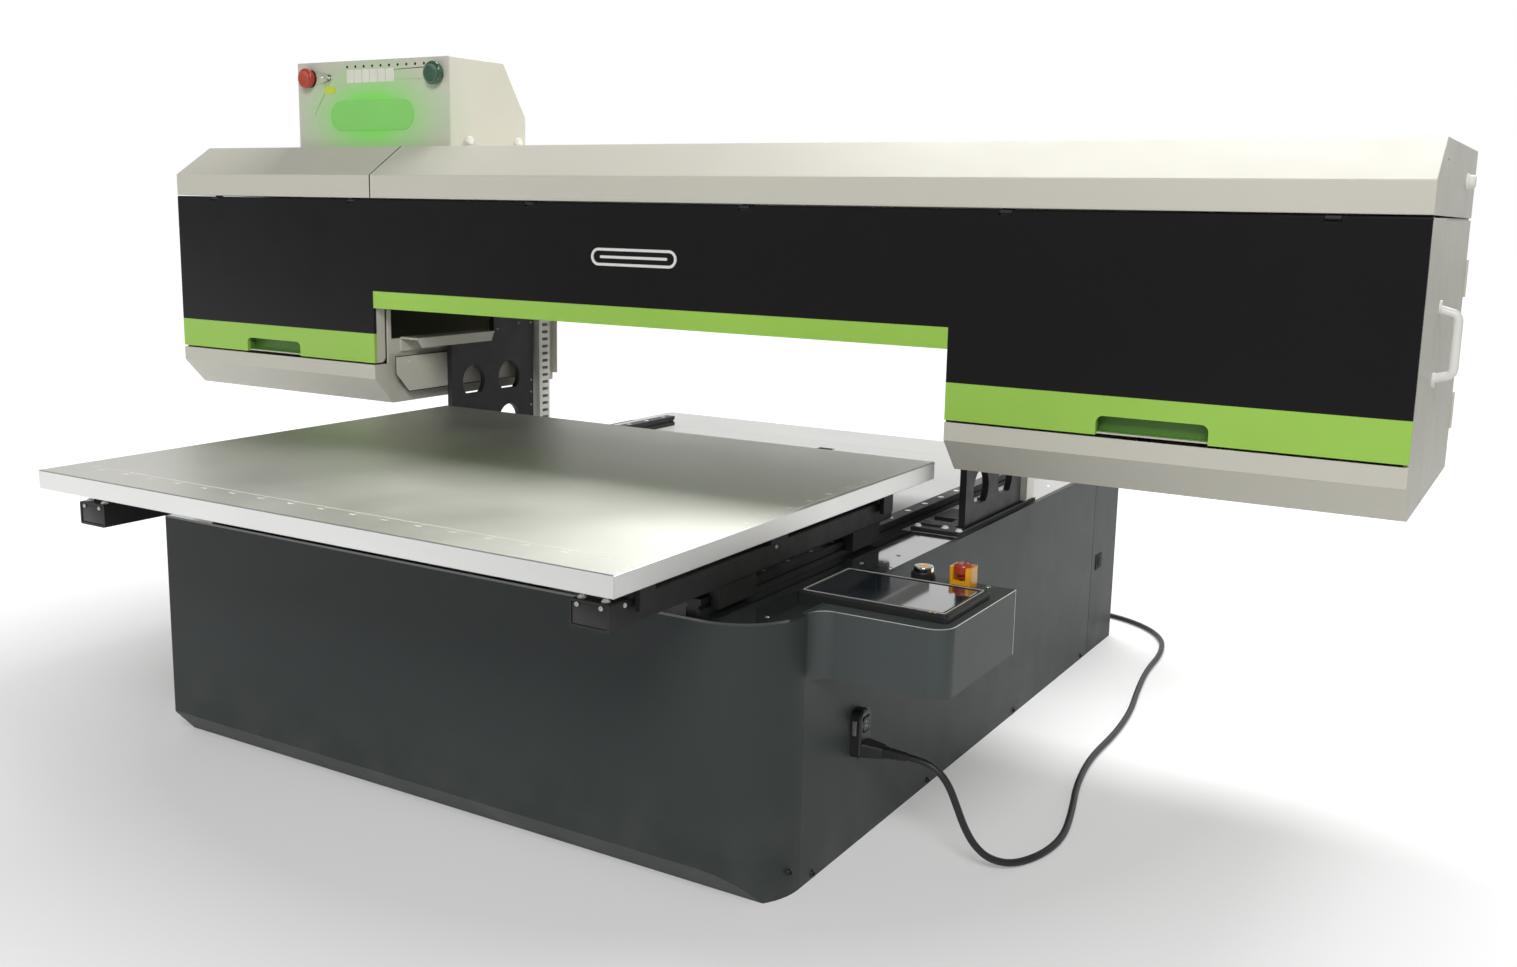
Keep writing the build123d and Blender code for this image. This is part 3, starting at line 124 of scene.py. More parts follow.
def surface(name, colour, roughness, metallic=0.0, mottle=0.06, patches=5.0, gloss_spread=0.05,
            grain=0.00002, grains=900.0, stretch=(1.0, 1.0, 1.0), coat=0.0, specular=0.5):
    """A finished surface: uneven colour, uneven gloss and a fine relief."""
    material, tree, shader = new_material(name)
    shader.inputs["Metallic"].default_value = metallic
    shader.inputs["Specular IOR Level"].default_value = specular
    shader.inputs["Coat Weight"].default_value = coat
    shader.inputs["Coat Roughness"].default_value = 0.08
    wide = noise(tree, patches, 4.0, stretch)
    colours = mix_colour(tree, between(tree, wide, 0.0, 1.0),
                         shaded(colour, -mottle), shaded(colour, mottle))
    tree.links.new(colours, shader.inputs["Base Color"])
    middle = noise(tree, patches * 9.0, 3.0, stretch)
    gloss = between(tree, middle, max(0.02, roughness - gloss_spread), roughness + gloss_spread)
    tree.links.new(gloss, shader.inputs["Roughness"])
    bump(tree, shader, noise(tree, grains, 2.0, stretch), grain)
    return material


def axis_value(tree, axis):
    """One of the piece's own coordinates, in metres."""
    split = tree.nodes.new("ShaderNodeSeparateXYZ")
    tree.links.new(own_coordinates(tree), split.inputs["Vector"])
    return split.outputs[axis]


def face_direction(tree, axis):
    """How far the surface faces along one of the piece's own axes."""
    geometry = tree.nodes.new("ShaderNodeTexCoord")
    split = tree.nodes.new("ShaderNodeSeparateXYZ")
    tree.links.new(geometry.outputs["Normal"], split.inputs["Vector"])
    return split.outputs[axis]


def multiply(tree, first, second):
    """The product of two value sockets."""
    product = tree.nodes.new("ShaderNodeMath")
    product.operation = "MULTIPLY"
    tree.links.new(first, product.inputs[0])
    tree.links.new(second, product.inputs[1])
    return product.outputs["Value"]


# ---------------------------------------------------------------- materials
CHARCOAL = (0.038, 0.045, 0.044)
HOOD_GREY = (0.60, 0.585, 0.505)
FLOOR_DUST = (0.22, 0.22, 0.20)
DUST_TOP = 0.14                          # metres above the floor
GLOW_Z = 923.0                           # height of the top box's lit window
# The green tint and the light painted onto the top box round its lit window.
PAINTED_GLOW_TINT, GLOW_LIGHT = (0.16, 0.50, 0.09), (0.12, 0.42, 0.06)


def charcoal_paint(name, colour):
    """Satin charcoal powder coat with a little dust towards the floor."""
    material = surface(name, colour, 0.46, mottle=0.04, patches=2.5, gloss_spread=0.02,
                       grain=0.00003, grains=650.0, specular=0.18)
    tree = material.node_tree
    shader = tree.nodes["Principled BSDF"]
    colour = shader.inputs["Base Color"].links[0].from_socket
    low = between(tree, axis_value(tree, "Z"), 1.0, 0.0, 0.0, DUST_TOP)
    dust = multiply(tree, low, between(tree, noise(tree, 14.0, 5.0), 0.0, 0.16, 0.42, 0.75))
    tree.links.new(mix_colour(tree, dust, colour, FLOOR_DUST), shader.inputs["Base Color"])
    return material


def brushed_bed():
    """Fine-milled aluminium plate: long faint brush lines across the bed and soft cloudy stains, with its
    side faces painted lighter than its top as a painted highlight.
    """
    material, tree, shader = new_material("brushed_bed")
    shader.inputs["Metallic"].default_value = 1.0
    lines = noise(tree, 30.0, 6.0, (1.0, 40.0, 1.0), 0.6)
    clouds = noise(tree, 5.0, 5.0)
    base = mix_colour(tree, between(tree, clouds, 0.0, 1.0), (0.66, 0.66, 0.60), (0.71, 0.71, 0.65))
    streaked = mix_colour(tree, between(tree, lines, 0.0, 0.35), base, (0.78, 0.78, 0.73))
    # Painted highlight: faces that don't look up get a lighter grey than the top.
    up = between(tree, face_direction(tree, "Z"), 0.0, 1.0, 0.5, 0.9)
    tree.links.new(mix_colour(tree, up, (0.88, 0.88, 0.86), streaked), shader.inputs["Base Color"])
    tree.links.new(between(tree, clouds, 0.40, 0.46), shader.inputs["Roughness"])
    bump(tree, shader, lines, 0.00002)
    return material


def lit_box():
    """The top box's paint, with a painted soft green glow round its lit window: the window's light is painted
    into the paint's colour and emission.
    """
    material = surface("box_paint", HOOD_GREY, 0.45, mottle=0.03, grain=0.00003, grains=700.0)
    tree = material.node_tree
    shader = tree.nodes["Principled BSDF"]
    low, high = cad("top_box")
    centre = ((low.x + high.x) / 2, low.y, GLOW_Z)
    coords = tree.nodes.new("ShaderNodeTexCoord")
    mapping = tree.nodes.new("ShaderNodeMapping")
    mapping.inputs["Location"].default_value = [-c * MM for c in centre]
    tree.links.new(coords.outputs["Object"], mapping.inputs["Vector"])
    squeeze = tree.nodes.new("ShaderNodeVectorMath")
    squeeze.operation = "MULTIPLY"
    squeeze.inputs[1].default_value = (1.0, 2.5, 1.9)
    tree.links.new(mapping.outputs["Vector"], squeeze.inputs[0])
    length = tree.nodes.new("ShaderNodeVectorMath")
    length.operation = "LENGTH"
    tree.links.new(squeeze.outputs["Vector"], length.inputs[0])
    # Painted light: a green tint and emission that fade with distance from the window.
    halo = between(tree, length.outputs["Value"], 1.0, 0.0, 0.06, 0.24)
    halo = multiply(tree, halo, halo)
    colour = shader.inputs["Base Color"].links[0].from_socket
    tree.links.new(mix_colour(tree, halo, colour, PAINTED_GLOW_TINT), shader.inputs["Base Color"])
    tree.links.new(mix_colour(tree, halo, (0.0, 0.0, 0.0), GLOW_LIGHT), shader.inputs["Emission Color"])
    shader.inputs["Emission Strength"].default_value = 0.5
    return material


def glowing(name, colour, strength):
    """A backlit plastic whose glow is a little uneven."""
    material = surface(name, colour, 0.35, mottle=0.03, patches=12.0)
    tree = material.node_tree
    shader = tree.nodes["Principled BSDF"]
    tree.links.new(shader.inputs["Base Color"].links[0].from_socket, shader.inputs["Emission Color"])
    shader.inputs["Emission Strength"].default_value = strength
    return material


LOOKS = {
    "charcoal": charcoal_paint("charcoal_paint", CHARCOAL),
    # The pod and side-panel looks are the same charcoal paint made lighter: painted light for the extra light
    # on those faces.
    "charcoal_painted_lighter_pod": charcoal_paint("pod_charcoal_painted_lighter", shaded(CHARCOAL, 0.65)),
    "charcoal_painted_lighter_side": charcoal_paint("side_charcoal_painted_lighter", shaded(CHARCOAL, 0.15)),
    "deck_dark": surface("deck_dark", (0.020, 0.023, 0.024), 0.12, mottle=0.08, patches=3.0, coat=1.0,
                         grain=0.00001, grains=500.0),
    "tray": surface("tray_paint", (0.42, 0.42, 0.41), 0.42, mottle=0.03, patches=6.0, gloss_spread=0.02,
                    grain=0.00001, specular=0.3),
    "hood": surface("hood_paint", HOOD_GREY, 0.45, mottle=0.03, patches=2.0, grain=0.00004, grains=700.0),
    "box": lit_box(),
    "green": surface("green_paint", (0.340, 0.610, 0.085), 0.38, mottle=0.05, patches=4.0, grain=0.00003),
    # The pull liners' green is the trim green darkened: painted shade inside the door pulls.
    "green_painted_shade": surface("green_painted_shade", (0.110, 0.260, 0.045), 0.45, mottle=0.08, patches=9.0),
    "door": surface("door_acrylic", (0.0100, 0.0088, 0.0092), 0.22, mottle=0.10, patches=2.0,
                    gloss_spread=0.04, grain=0.00001, grains=300.0, specular=0.18),
    "bed": brushed_bed(),
    "aluminium": surface("aluminium", (0.70, 0.70, 0.68), 0.32, 1.0, grains=400.0, stretch=(0.05, 1.0, 1.0)),
    "black": surface("black_powder", (0.014, 0.0135, 0.014), 0.55, mottle=0.12, grain=0.00008, grains=1200.0),
    "steel": surface("ground_steel", (0.56, 0.56, 0.57), 0.28, 1.0, patches=25.0, stretch=(1.0, 0.08, 1.0)),
    "plastic": surface("black_plastic", (0.016, 0.016, 0.017), 0.40, mottle=0.08, grain=0.00005,
                       grains=1500.0),
    "screen": surface("screen_glass", (0.020, 0.026, 0.034), 0.05, mottle=0.20, patches=9.0,
                      gloss_spread=0.02, grain=0.000004, grains=30.0, coat=1.0),
    "yellow": surface("yellow_plastic", (0.83, 0.38, 0.012), 0.30, mottle=0.05, patches=30.0),
    "red": surface("red_plastic", (0.46, 0.050, 0.022), 0.28, mottle=0.06, patches=40.0, coat=0.3),
    "lens_green": surface("green_lens", (0.020, 0.090, 0.045), 0.12, mottle=0.15, patches=60.0, coat=0.8),
    "white": surface("white_plastic", (0.78, 0.78, 0.75), 0.33, mottle=0.03, patches=20.0),
    "silver": surface("polished_steel", (0.78, 0.78, 0.77), 0.14, 1.0, patches=50.0),
    "duct": surface("duct_plastic", (0.78, 0.77, 0.70), 0.50, mottle=0.04, patches=12.0),
    "rubber": surface("cord_rubber", (0.012, 0.012, 0.013), 0.48, mottle=0.15, patches=30.0, grain=0.00005),
    "zinc": surface("zinc_screws", (0.74, 0.74, 0.72), 0.30, 1.0, patches=90.0),
    "dark_screw": surface("black_screws", (0.022, 0.022, 0.023), 0.35, 0.6, patches=90.0),
    "label": surface("label_film", (0.75, 0.76, 0.66), 0.40, mottle=0.05, patches=25.0),
    "tag": surface("yellow_tag", (0.52, 0.66, 0.06), 0.42, mottle=0.06, patches=25.0),
    "ink": surface("engraving", (0.78, 0.77, 0.72), 0.60, mottle=0.15, patches=30.0),
    "hole": surface("dark_hole", (0.008, 0.008, 0.008), 0.80, mottle=0.2, patches=60.0),
    "lit": glowing("lit_green", (0.13, 0.36, 0.08), 0.7),
    "amber": glowing("amber_lamp", (0.80, 0.30, 0.02), 0.3),
}

WORN_BY = {
    "charcoal": "front_cover rear_cover",
    "charcoal_painted_lighter_pod": "control_pod",
    "charcoal_painted_lighter_side": "side_panels",
    "deck_dark": "front_deck",
    "tray": "rear_deck rear_deck_cover",
    "hood": "left_wing right_wing top_covers gantry_rear_cover drip_channel door_frame end_door "
            "carriage_body",
    "box": "top_box",
    "green": "door_trim",
    "door": "door_panel",
    "bed": "bed_plate",
    "aluminium": "gantry_beam x_drive_pulley x_idler_pulley",
    "black": "base_pan base_frame leg_seals drive_motors y_rails bed_tubes bed_frame y_blocks legs x_drive "
             "uv_lamps door_hinge_rod",
    "steel": "z_guides y_screw left_z_screw right_z_screw x_rails z_blocks",
    "plastic": "screen_bezel start_collar power_inlet rocker_switch print_heads capping_tray",
    "screen": "screen_glass",
    "yellow": "estop_shroud",
    "red": "estop_button red_button",
    "lens_green": "green_button",
    "white": "end_handle",
    "silver": "start_button toggle_lever",
    "duct": "wiring_ducts",
    "rubber": "mains_plug mains_cord cord_coil wall_plug x_belt",
}
for look, wearers in WORN_BY.items():
    for wearer in wearers.split():
        NODES[wearer].data.materials.clear()
        NODES[wearer].data.materials.append(LOOKS[look])


def soften(nodes, width):
    """Small rounded edges on folded sheet and moulded parts."""
    for node in nodes.split():
        thing = NODES[node]
        weld = thing.modifiers.new("weld", "WELD")
        weld.merge_threshold = 0.00001
        edges = thing.modifiers.new("soft_edges", "BEVEL")
        edges.width = width * MM
        edges.segments = 2
        edges.limit_method = "ANGLE"
        edges.angle_limit = math.radians(30)
        edges.use_clamp_overlap = True


soften("top_covers left_wing right_wing end_door top_box", 1.2)
soften("control_pod estop_shroud", 1.0)


# ---------------------------------------------------------------- mesh building blocks
def piece(name, mesh, look, body, smooth_angle=35.0):
    """A finished piece: the mesh in metres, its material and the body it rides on."""
    bmesh.ops.remove_doubles(mesh, verts=mesh.verts, dist=0.001)
    bmesh.ops.recalc_face_normals(mesh, faces=mesh.faces)
    bmesh.ops.scale(mesh, vec=(MM, MM, MM), verts=mesh.verts)
    for edge in mesh.edges:
        if len(edge.link_faces) == 2:
            edge.smooth = edge.calc_face_angle() < math.radians(smooth_angle)
    for face in mesh.faces:
        face.smooth = True
    data = bpy.data.meshes.new(name)
    mesh.to_mesh(data)
    mesh.free()
    data.materials.append(LOOKS[look])
    thing = bpy.data.objects.new(name, data)
    bpy.context.scene.collection.objects.link(thing)
    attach(thing, body)
    return thing


def facing(axis):
    """A rotation that turns +Z to a direction."""
    return Vector((0, 0, 1)).rotation_difference(Vector(axis)).to_matrix().to_4x4()


def add_box(mesh, low, high, edge=0.6, segments=2):
    """A block between two corners with rounded edges."""
    centre = (Vector(low) + Vector(high)) / 2
    size = Vector(high) - Vector(low)
    place = Matrix.Translation(centre) @ Matrix.Diagonal((*size, 1))
    made = bmesh.ops.create_cube(mesh, size=1.0, matrix=place)["verts"]
    edges = {e for v in made for e in v.link_edges}
    bmesh.ops.bevel(mesh, geom=list(edges), offset=edge, segments=segments, profile=0.6, affect="EDGES")


def add_turned(mesh, profile, place, steps=24, sides=0):
    """A turned shape from (radius, height) points. A negative radius is a ring with that many flat sides."""
    rings = []
    for radius, height in profile:
        if radius == 0:
            rings.append([mesh.verts.new(place @ Vector((0, 0, height)))])
            continue
        ring = []
        for step in range(steps):
            angle = 2 * math.pi * step / steps
            reach = abs(radius)
            if radius < 0:
                wedge = 2 * math.pi / sides
                reach *= math.cos(wedge / 2) / math.cos(angle % wedge - wedge / 2)
            point = Vector((reach * math.cos(angle), reach * math.sin(angle), height))
            ring.append(mesh.verts.new(place @ point))
        rings.append(ring)
    for lower, upper in zip(rings, rings[1:]):
        for step in range(steps):
            after = (step + 1) % steps
            corners = [lower[step % len(lower)], lower[after % len(lower)],
                       upper[after % len(upper)], upper[step % len(upper)]]
            mesh.faces.new(list(dict.fromkeys(corners)))


def add_screw(mesh, centre, axis, radius=4.5, height=2.6):
    """A button-head screw with a hexagon socket."""
    place = Matrix.Translation(centre) @ facing(axis)
    socket = radius * 0.55
    profile = [(radius * 0.96, 0), (radius, height * 0.15), (radius * 0.93, height * 0.55),
               (radius * 0.72, height * 0.88), (socket * 1.12, height), (-socket, height * 0.97),
               (-socket * 0.96, height * 0.35), (0, height * 0.28)]
    add_turned(mesh, profile, place, 24, 6)


def add_bolt(mesh, centre, axis, radius=5.0, height=4.0):
    """A hexagon bolt on its washer."""
    place = Matrix.Translation(centre) @ facing(axis)
    washer = [(radius * 1.45, 0), (radius * 1.5, 0.5), (radius * 1.45, 1.0), (-radius * 1.1, 1.0)]
    head = [(-radius * 1.1, height * 0.85), (radius * 0.88, height), (0, height)]
    add_turned(mesh, washer + head, place, 24, 6)


def add_slab(mesh, outline, low, high, axis="Z"):
    """A flat outline, made solid between two values of the axis it faces."""
    order = {"X": lambda a, b, c: (c, a, b),
             "Y": lambda a, b, c: (a, c, b),
             "Z": lambda a, b, c: (a, b, c)}[axis]
    lower = [mesh.verts.new(order(a, b, low)) for a, b in outline]
    upper = [mesh.verts.new(order(a, b, high)) for a, b in outline]
    mesh.faces.new(lower)
    mesh.faces.new(upper)
    for step in range(len(outline)):
        after = (step + 1) % len(outline)
        mesh.faces.new([lower[step], lower[after], upper[after], upper[step]])


def add_little_box(mesh, place, size, edge):
    """A small block centred on a place, with bevelled edges."""
    made = bmesh.ops.create_cube(mesh, size=1.0, matrix=place @ Matrix.Diagonal((*size, 1)))["verts"]
    bmesh.ops.bevel(mesh, geom=list({e for v in made for e in v.link_edges}), offset=edge, segments=1,
                    affect="EDGES")


def add_band(mesh, outer, inner, back, front, axis):
    """A flat band between two outlines, made solid from back to front along the axis it faces."""
    count = len(outer)
    order = {"Y": lambda a, b, c: (a, c, b), "Z": lambda a, b, c: (a, b, c)}[axis]
    loops = [[mesh.verts.new(order(a, b, depth)) for a, b in outline]
             for outline, depth in ((outer, back), (outer, front), (inner, front), (inner, back))]
    for step in range(count):
        after = (step + 1) % count
        for first, second in zip(loops, loops[1:] + loops[:1]):
            mesh.faces.new([first[step], first[after], second[after], second[step]])


def rounded(x0, x1, z0, z1, radius, steps=6):
    """The outline of a rounded rectangle."""
    points = []
    corners = ((x1 - radius, z1 - radius, 0), (x0 + radius, z1 - radius, 90),
               (x0 + radius, z0 + radius, 180), (x1 - radius, z0 + radius, 270))
    for cx, cz, start in corners:
        for step in range(steps + 1):
            angle = math.radians(start + 90 * step / steps)
            points.append((cx + radius * math.cos(angle), cz + radius * math.sin(angle)))
    return points


# ---------------------------------------------------------------- mains lead
CORD_D = 9.0
FLOOR = CORD_D / 2 + 0.3
CORD_ROUTE = [
    (571, -428, 131.5), (592, -428, 131), (610, -426, 123), (623, -424, 107), (632, -421, 84),
    (641, -417, 58), (652, -410, 34), (668, -398, 15), (690, -375, FLOOR + 0.4), (710, -330, FLOOR),
    (716, -268, FLOOR), (700, -186, FLOOR), (676, -92, FLOOR), (662, 14, FLOOR), (664, 124, FLOOR),
    (656, 236, FLOOR), (636, 346, FLOOR), (620, 458, FLOOR), (616, 566, FLOOR), (594, 660, FLOOR),
    (536, 728, FLOOR), (458, 762, FLOOR), (376, 769, FLOOR),
]
COIL_X, COIL_Y = 344.0, 818.5
OUTER_TURN, INNER_TURN = 54.7, 45.6      # the spline runs a little inside its points
TURN_POINTS = 18
TURN_START = math.radians(-90)
PLUG_AXIS_Z = 14.3


def coil_points():
    """Four turns, seen from above clockwise: out and in on the floor, then in and out on top of them."""
    points = []
    turns = ((OUTER_TURN, INNER_TURN, 0), (INNER_TURN, INNER_TURN, 0), (INNER_TURN, OUTER_TURN, 1),
             (OUTER_TURN, OUTER_TURN, 1))
    layers = [FLOOR, FLOOR + CORD_D + 0.05]
    for number, (radius, next_radius, layer) in enumerate(turns):
        for step in range(TURN_POINTS):
            late = max(0.0, (step - TURN_POINTS + 5) / 5)
            around = TURN_START - 2 * math.pi * step / TURN_POINTS
            reach = radius + (next_radius - radius) * late
            height = layers[layer]
            if number == 1:
                height += (layers[1] - layers[0]) * late
            points.append((COIL_X + reach * math.cos(around), COIL_Y + reach * math.sin(around), height))
    for step in range(TURN_POINTS // 4 + 1):
        around = TURN_START - 2 * math.pi * step / TURN_POINTS
        points.append((COIL_X + OUTER_TURN * math.cos(around), COIL_Y + OUTER_TURN * math.sin(around),
                       layers[1]))
    relief = cad("wall_plug")[0].y
    points += [(COIL_X - 51.5, COIL_Y + 14, layers[1] + 0.2), (COIL_X - 49.6, relief - 6, PLUG_AXIS_Z),
               (COIL_X - 49.5, relief + 3, PLUG_AXIS_Z)]
    return points


def mains_lead():
    """The whole lead on one smooth curve, from the inlet plug to the wall plug."""
    line = bpy.data.curves.new("mains_lead", "CURVE")
    line.dimensions = "3D"
    line.bevel_depth = CORD_D / 2 * MM
    line.bevel_resolution = 6
    line.resolution_u = 8
    line.use_fill_caps = True
    spline = line.splines.new("NURBS")
    route = CORD_ROUTE + coil_points()
    spline.points.add(len(route) - 1)
    for point, place in zip(spline.points, route):
        point.co = (*(c * MM for c in place), 1.0)
    spline.order_u = 3
    spline.use_endpoint_u = True
    line.materials.append(LOOKS["rubber"])
    lead = bpy.data.objects.new("mains_lead", line)
    bpy.context.scene.collection.objects.link(lead)
    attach(lead, "base")
    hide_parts("mains_cord", "cord_coil")


mains_lead()

# ---------------------------------------------------------------- base: fasteners and latches
PANELS_HIGH = cad("side_panels")[1]
SIDE_X = PANELS_HIGH.x
DECK_Z = PANELS_HIGH.z
REAR_Y = cad("rear_cover")[1].y


def base_screws():
    """Button-head screws along the foot of the side panels and round the rear cover."""
    mesh = bmesh.new()
    corner_screw, foot_z = (-589, 31), 6.5
    for side in (-1, 1):
        for y, z in (corner_screw, *((y, foot_z) for y in (-532, -199, 134, 468))):
            add_screw(mesh, (side * SIDE_X, y, z), (side, 0, 0))
    for x in (-460, -155, 155, 460):
        for z in (25, 300):
            add_screw(mesh, (x, REAR_Y, z), (0, 1, 0))
    piece("base_screws", mesh, "dark_screw", "base")


def side_latches():
    """Square quarter-turn latches that hold the rear cover: a plate, a round core and its slot bar."""
    mesh = bmesh.new()
    y, z = 540, 163.5
    for side in (-1, 1):
        x = side * SIDE_X
        add_box(mesh, (x - 1.2, y - 17, z - 13.5), (x + 1.2, y + 17, z + 13.5), 0.5)
        add_turned(mesh, [(8.0, 0), (8.0, 1.6), (7.2, 2.2), (0, 2.2)],
                   Matrix.Translation((x + 0.4 * side, y, z)) @ facing((side, 0, 0)))
        add_box(mesh, (x + 1.0 * side - 1.8, y - 1, z - 6.5), (x + 1.0 * side + 1.8, y + 1, z + 6.5), 0.3)
    piece("side_latches", mesh, "hole", "base")


def deck_screws():
    """Small low-headed screws along the dark deck, the pale tray and its cover, and behind the screen."""
    mesh = bmesh.new()
    deck_x, cover_x = 470, 475
    for side in (-1, 1):
        for y in (-600, -440, -300, -255, 230, 330, 430, 480):
            add_screw(mesh, (side * deck_x, y, DECK_Z), (0, 0, 1), 3.0, 0.8)
        for y in (520, 630):
            add_screw(mesh, (side * cover_x, y, DECK_Z), (0, 0, 1), 3.0, 0.8)
    behind_screen = ((447.8, -320.4), (490.7, -323.8), (626.1, -336))
    for x, y in behind_screen:
        add_screw(mesh, (x, y, DECK_Z), (0, 0, 1), 3.2, 1.4)
    piece("deck_screws", mesh, "zinc", "base")


def rail_plugs():
    """Bright plugs in the bolt holes along the two bed rails."""
    mesh = bmesh.new()
    low, high = cad("y_rails")
    half_rail, first, pitch = 10, 30, 60
    for side in (-1, 1):
        y = low.y + first
        while y < high.y:
            add_turned(mesh, [(4.6, -0.5), (4.6, 0.25), (4.2, 0.4), (0, 0.4)],
                       Matrix.Translation((side * (high.x - half_rail), y, high.z)))
            y += pitch
    piece("rail_plugs", mesh, "zinc", "base")


def seal_bolts():
    """Pale bolts that clamp the two leg seals."""
    mesh = bmesh.new()
    top = cad("leg_seals")[1].z
    for side in (-1, 1):
        for x, y in ((466, -92), (466, 10), (466, 168), (490, -100), (490, 195), (428, -100), (428, 190)):
            add_bolt(mesh, (side * x, y, top), (0, 0, 1), 3.6, 3.4)
    piece("seal_bolts", mesh, "white", "base")


# ---------------------------------------------------------------- control pod
def pod_rim_highlight():
    """A bright strip along the pod's top edge and down its back corner: a painted highlight where the edge
    catches light.
    """
    low, high = cad("control_pod")
    top, edge, soft = high.z, 0.45, 0.12
    hollow, corner = 22.0, 24.0          # radii where the pod leaves the side panel and at its front corner
    quarter = [math.radians(a) for a in range(0, 91, 15)]
    path = [(SIDE_X + hollow * (1 - math.cos(a)), low.y + hollow * math.sin(a)) for a in quarter]
    path += [(high.x - corner + corner * math.sin(a), low.y + hollow + corner * (1 - math.cos(a)))
             for a in quarter]
    path.append((high.x, high.y))
    mesh = bmesh.new()
    for (ax, ay), (bx, by) in zip(path, path[1:]):
        run = Vector((bx - ax, by - ay, 0))
        along = Vector((1, 0, 0)).rotation_difference(run).to_matrix().to_4x4()
        place = Matrix.Translation(((ax + bx) / 2, (ay + by) / 2, top - edge)) @ along
        add_little_box(mesh, place, (run.length + edge, 2 * edge, 2 * edge), soft)
    add_box(mesh, (high.x - edge, high.y - edge, low.z), (high.x + edge / 2, high.y + edge / 2, top), soft, 1)
    piece("pod_rim_highlight", mesh, "zinc", "base")


def screen_marks():
    """A thin bright band round the glass, a painted highlight of the bezel's edge, and two status lamps."""
    mesh = bmesh.new()
    low, high = cad("screen_glass")
    frame_z = cad("screen_bezel")[1].z
    wide, narrow, below = 4.6, 3.4, 6.8  # distances out from the glass
    outer = rounded(low.x - wide, high.x + wide, low.y - wide, high.y + wide, 4)
    inner = rounded(low.x - narrow, high.x + narrow, low.y - narrow, high.y + narrow, 3.4)
    # Painted highlight: a pale band where the bezel's edge catches light.
    add_band(mesh, outer, inner, frame_z, frame_z + 0.25, "Z")
    piece("screen_edge_highlight", mesh, "white", "base")
    lamps = bmesh.new()
    for x in (high.x - 6, high.x - 12):
        add_turned(lamps, [(1.2, -0.4), (1.2, 0.1), (0.8, 0.35), (0, 0.4)],
                   Matrix.Translation((x, low.y - below, frame_z)), 12)
    piece("screen_lamps", lamps, "amber", "base")


def start_button_details():
    """A pale ring and an amber lamp let into the start button, and the knurl round its collar."""
    low, high = cad("start_button")
    centre = (low + high) / 2
    on_top = Matrix.Translation((centre.x, centre.y, high.z))
    mesh = bmesh.new()
    ring = [(10.2, -0.2), (10.2, 0.35), (9.4, 0.55), (7.2, 0.55), (6.6, 0.3), (6.6, -0.2)]
    add_turned(mesh, ring, on_top, 32)
    piece("start_ring", mesh, "white", "start_button")
    lamp = bmesh.new()
    add_turned(lamp, [(5.4, -0.2), (5.4, 0.2), (4.6, 0.5), (0, 0.7)], on_top, 24)
    piece("start_lamp", lamp, "amber", "start_button")
    knurl = bmesh.new()
    teeth, reach = 28, 14.6
    knurl_z = cad("start_collar")[1].z - 5.5
    for step in range(teeth):
        turned = Matrix.Rotation(2 * math.pi * step / teeth, 4, "Z")
        place = Matrix.Translation((centre.x, centre.y, knurl_z)) @ turned @ Matrix.Translation((reach, 0, 0))
        add_little_box(knurl, place, (0.9, 1.6, 7.0), 0.3)
    piece("start_knurl", knurl, "plastic", "base")


def estop_details():
    """Three raised release marks on the stop button, each an arc of five short blocks."""
    low, high = cad("estop_button")
    centre = (low + high) / 2
    on_top = Matrix.Translation((centre.x, centre.y, high.z))
    mesh = bmesh.new()
    marks, blocks, block_turn, reach = 3, 5, 0.16, 5.2
    for step in range(marks):
        start = 2 * math.pi * step / marks
        for part in range(blocks):
            turned = Matrix.Rotation(start + block_turn * part, 4, "Z")
            place = on_top @ turned @ Matrix.Translation((reach, 0, 0))
            add_little_box(mesh, place, (0.9, 1.0, 0.4), 0.15)
    piece("estop_marks", mesh, "white", "estop_button")


def inlet_details():
    """The inlet's bright side strip, a painted highlight on the plate's edge, and the rocker's bar and ring.
    """
    low, high = cad("power_inlet")
    middle = (low + high) / 2
    edge = bmesh.new()
    # Painted highlight: a bright strip where the inlet plate's edge catches light.
    add_box(edge, (SIDE_X + 3, low.y - 0.25, middle.z), (high.x - 6, low.y + 0.25, high.z - 12), 0.1, 1)
    piece("inlet_glint", edge, "zinc", "base")
    rocker_low, rocker_high = cad("rocker_switch")
    top, face = rocker_high.z, rocker_high.x - 1.6
    mesh = bmesh.new()
    add_box(mesh, (face - 0.6, middle.y - 0.6, top - 7.5), (face + 0.6, middle.y + 0.6, top - 3.5), 0.2)
    place = Matrix.Translation((face, middle.y, rocker_low.z + 5.0)) @ facing((1, 0, 0))
    add_turned(mesh, [(2.4, -0.6), (2.4, 0.6), (1.6, 0.6), (1.6, -0.6)], place, 20)
    piece("rocker_marks", mesh, "white", "rocker_switch")


# ---------------------------------------------------------------- bed
BED_LOW, BED_HIGH = cad("bed_plate")
RULE_STEP = 50.0


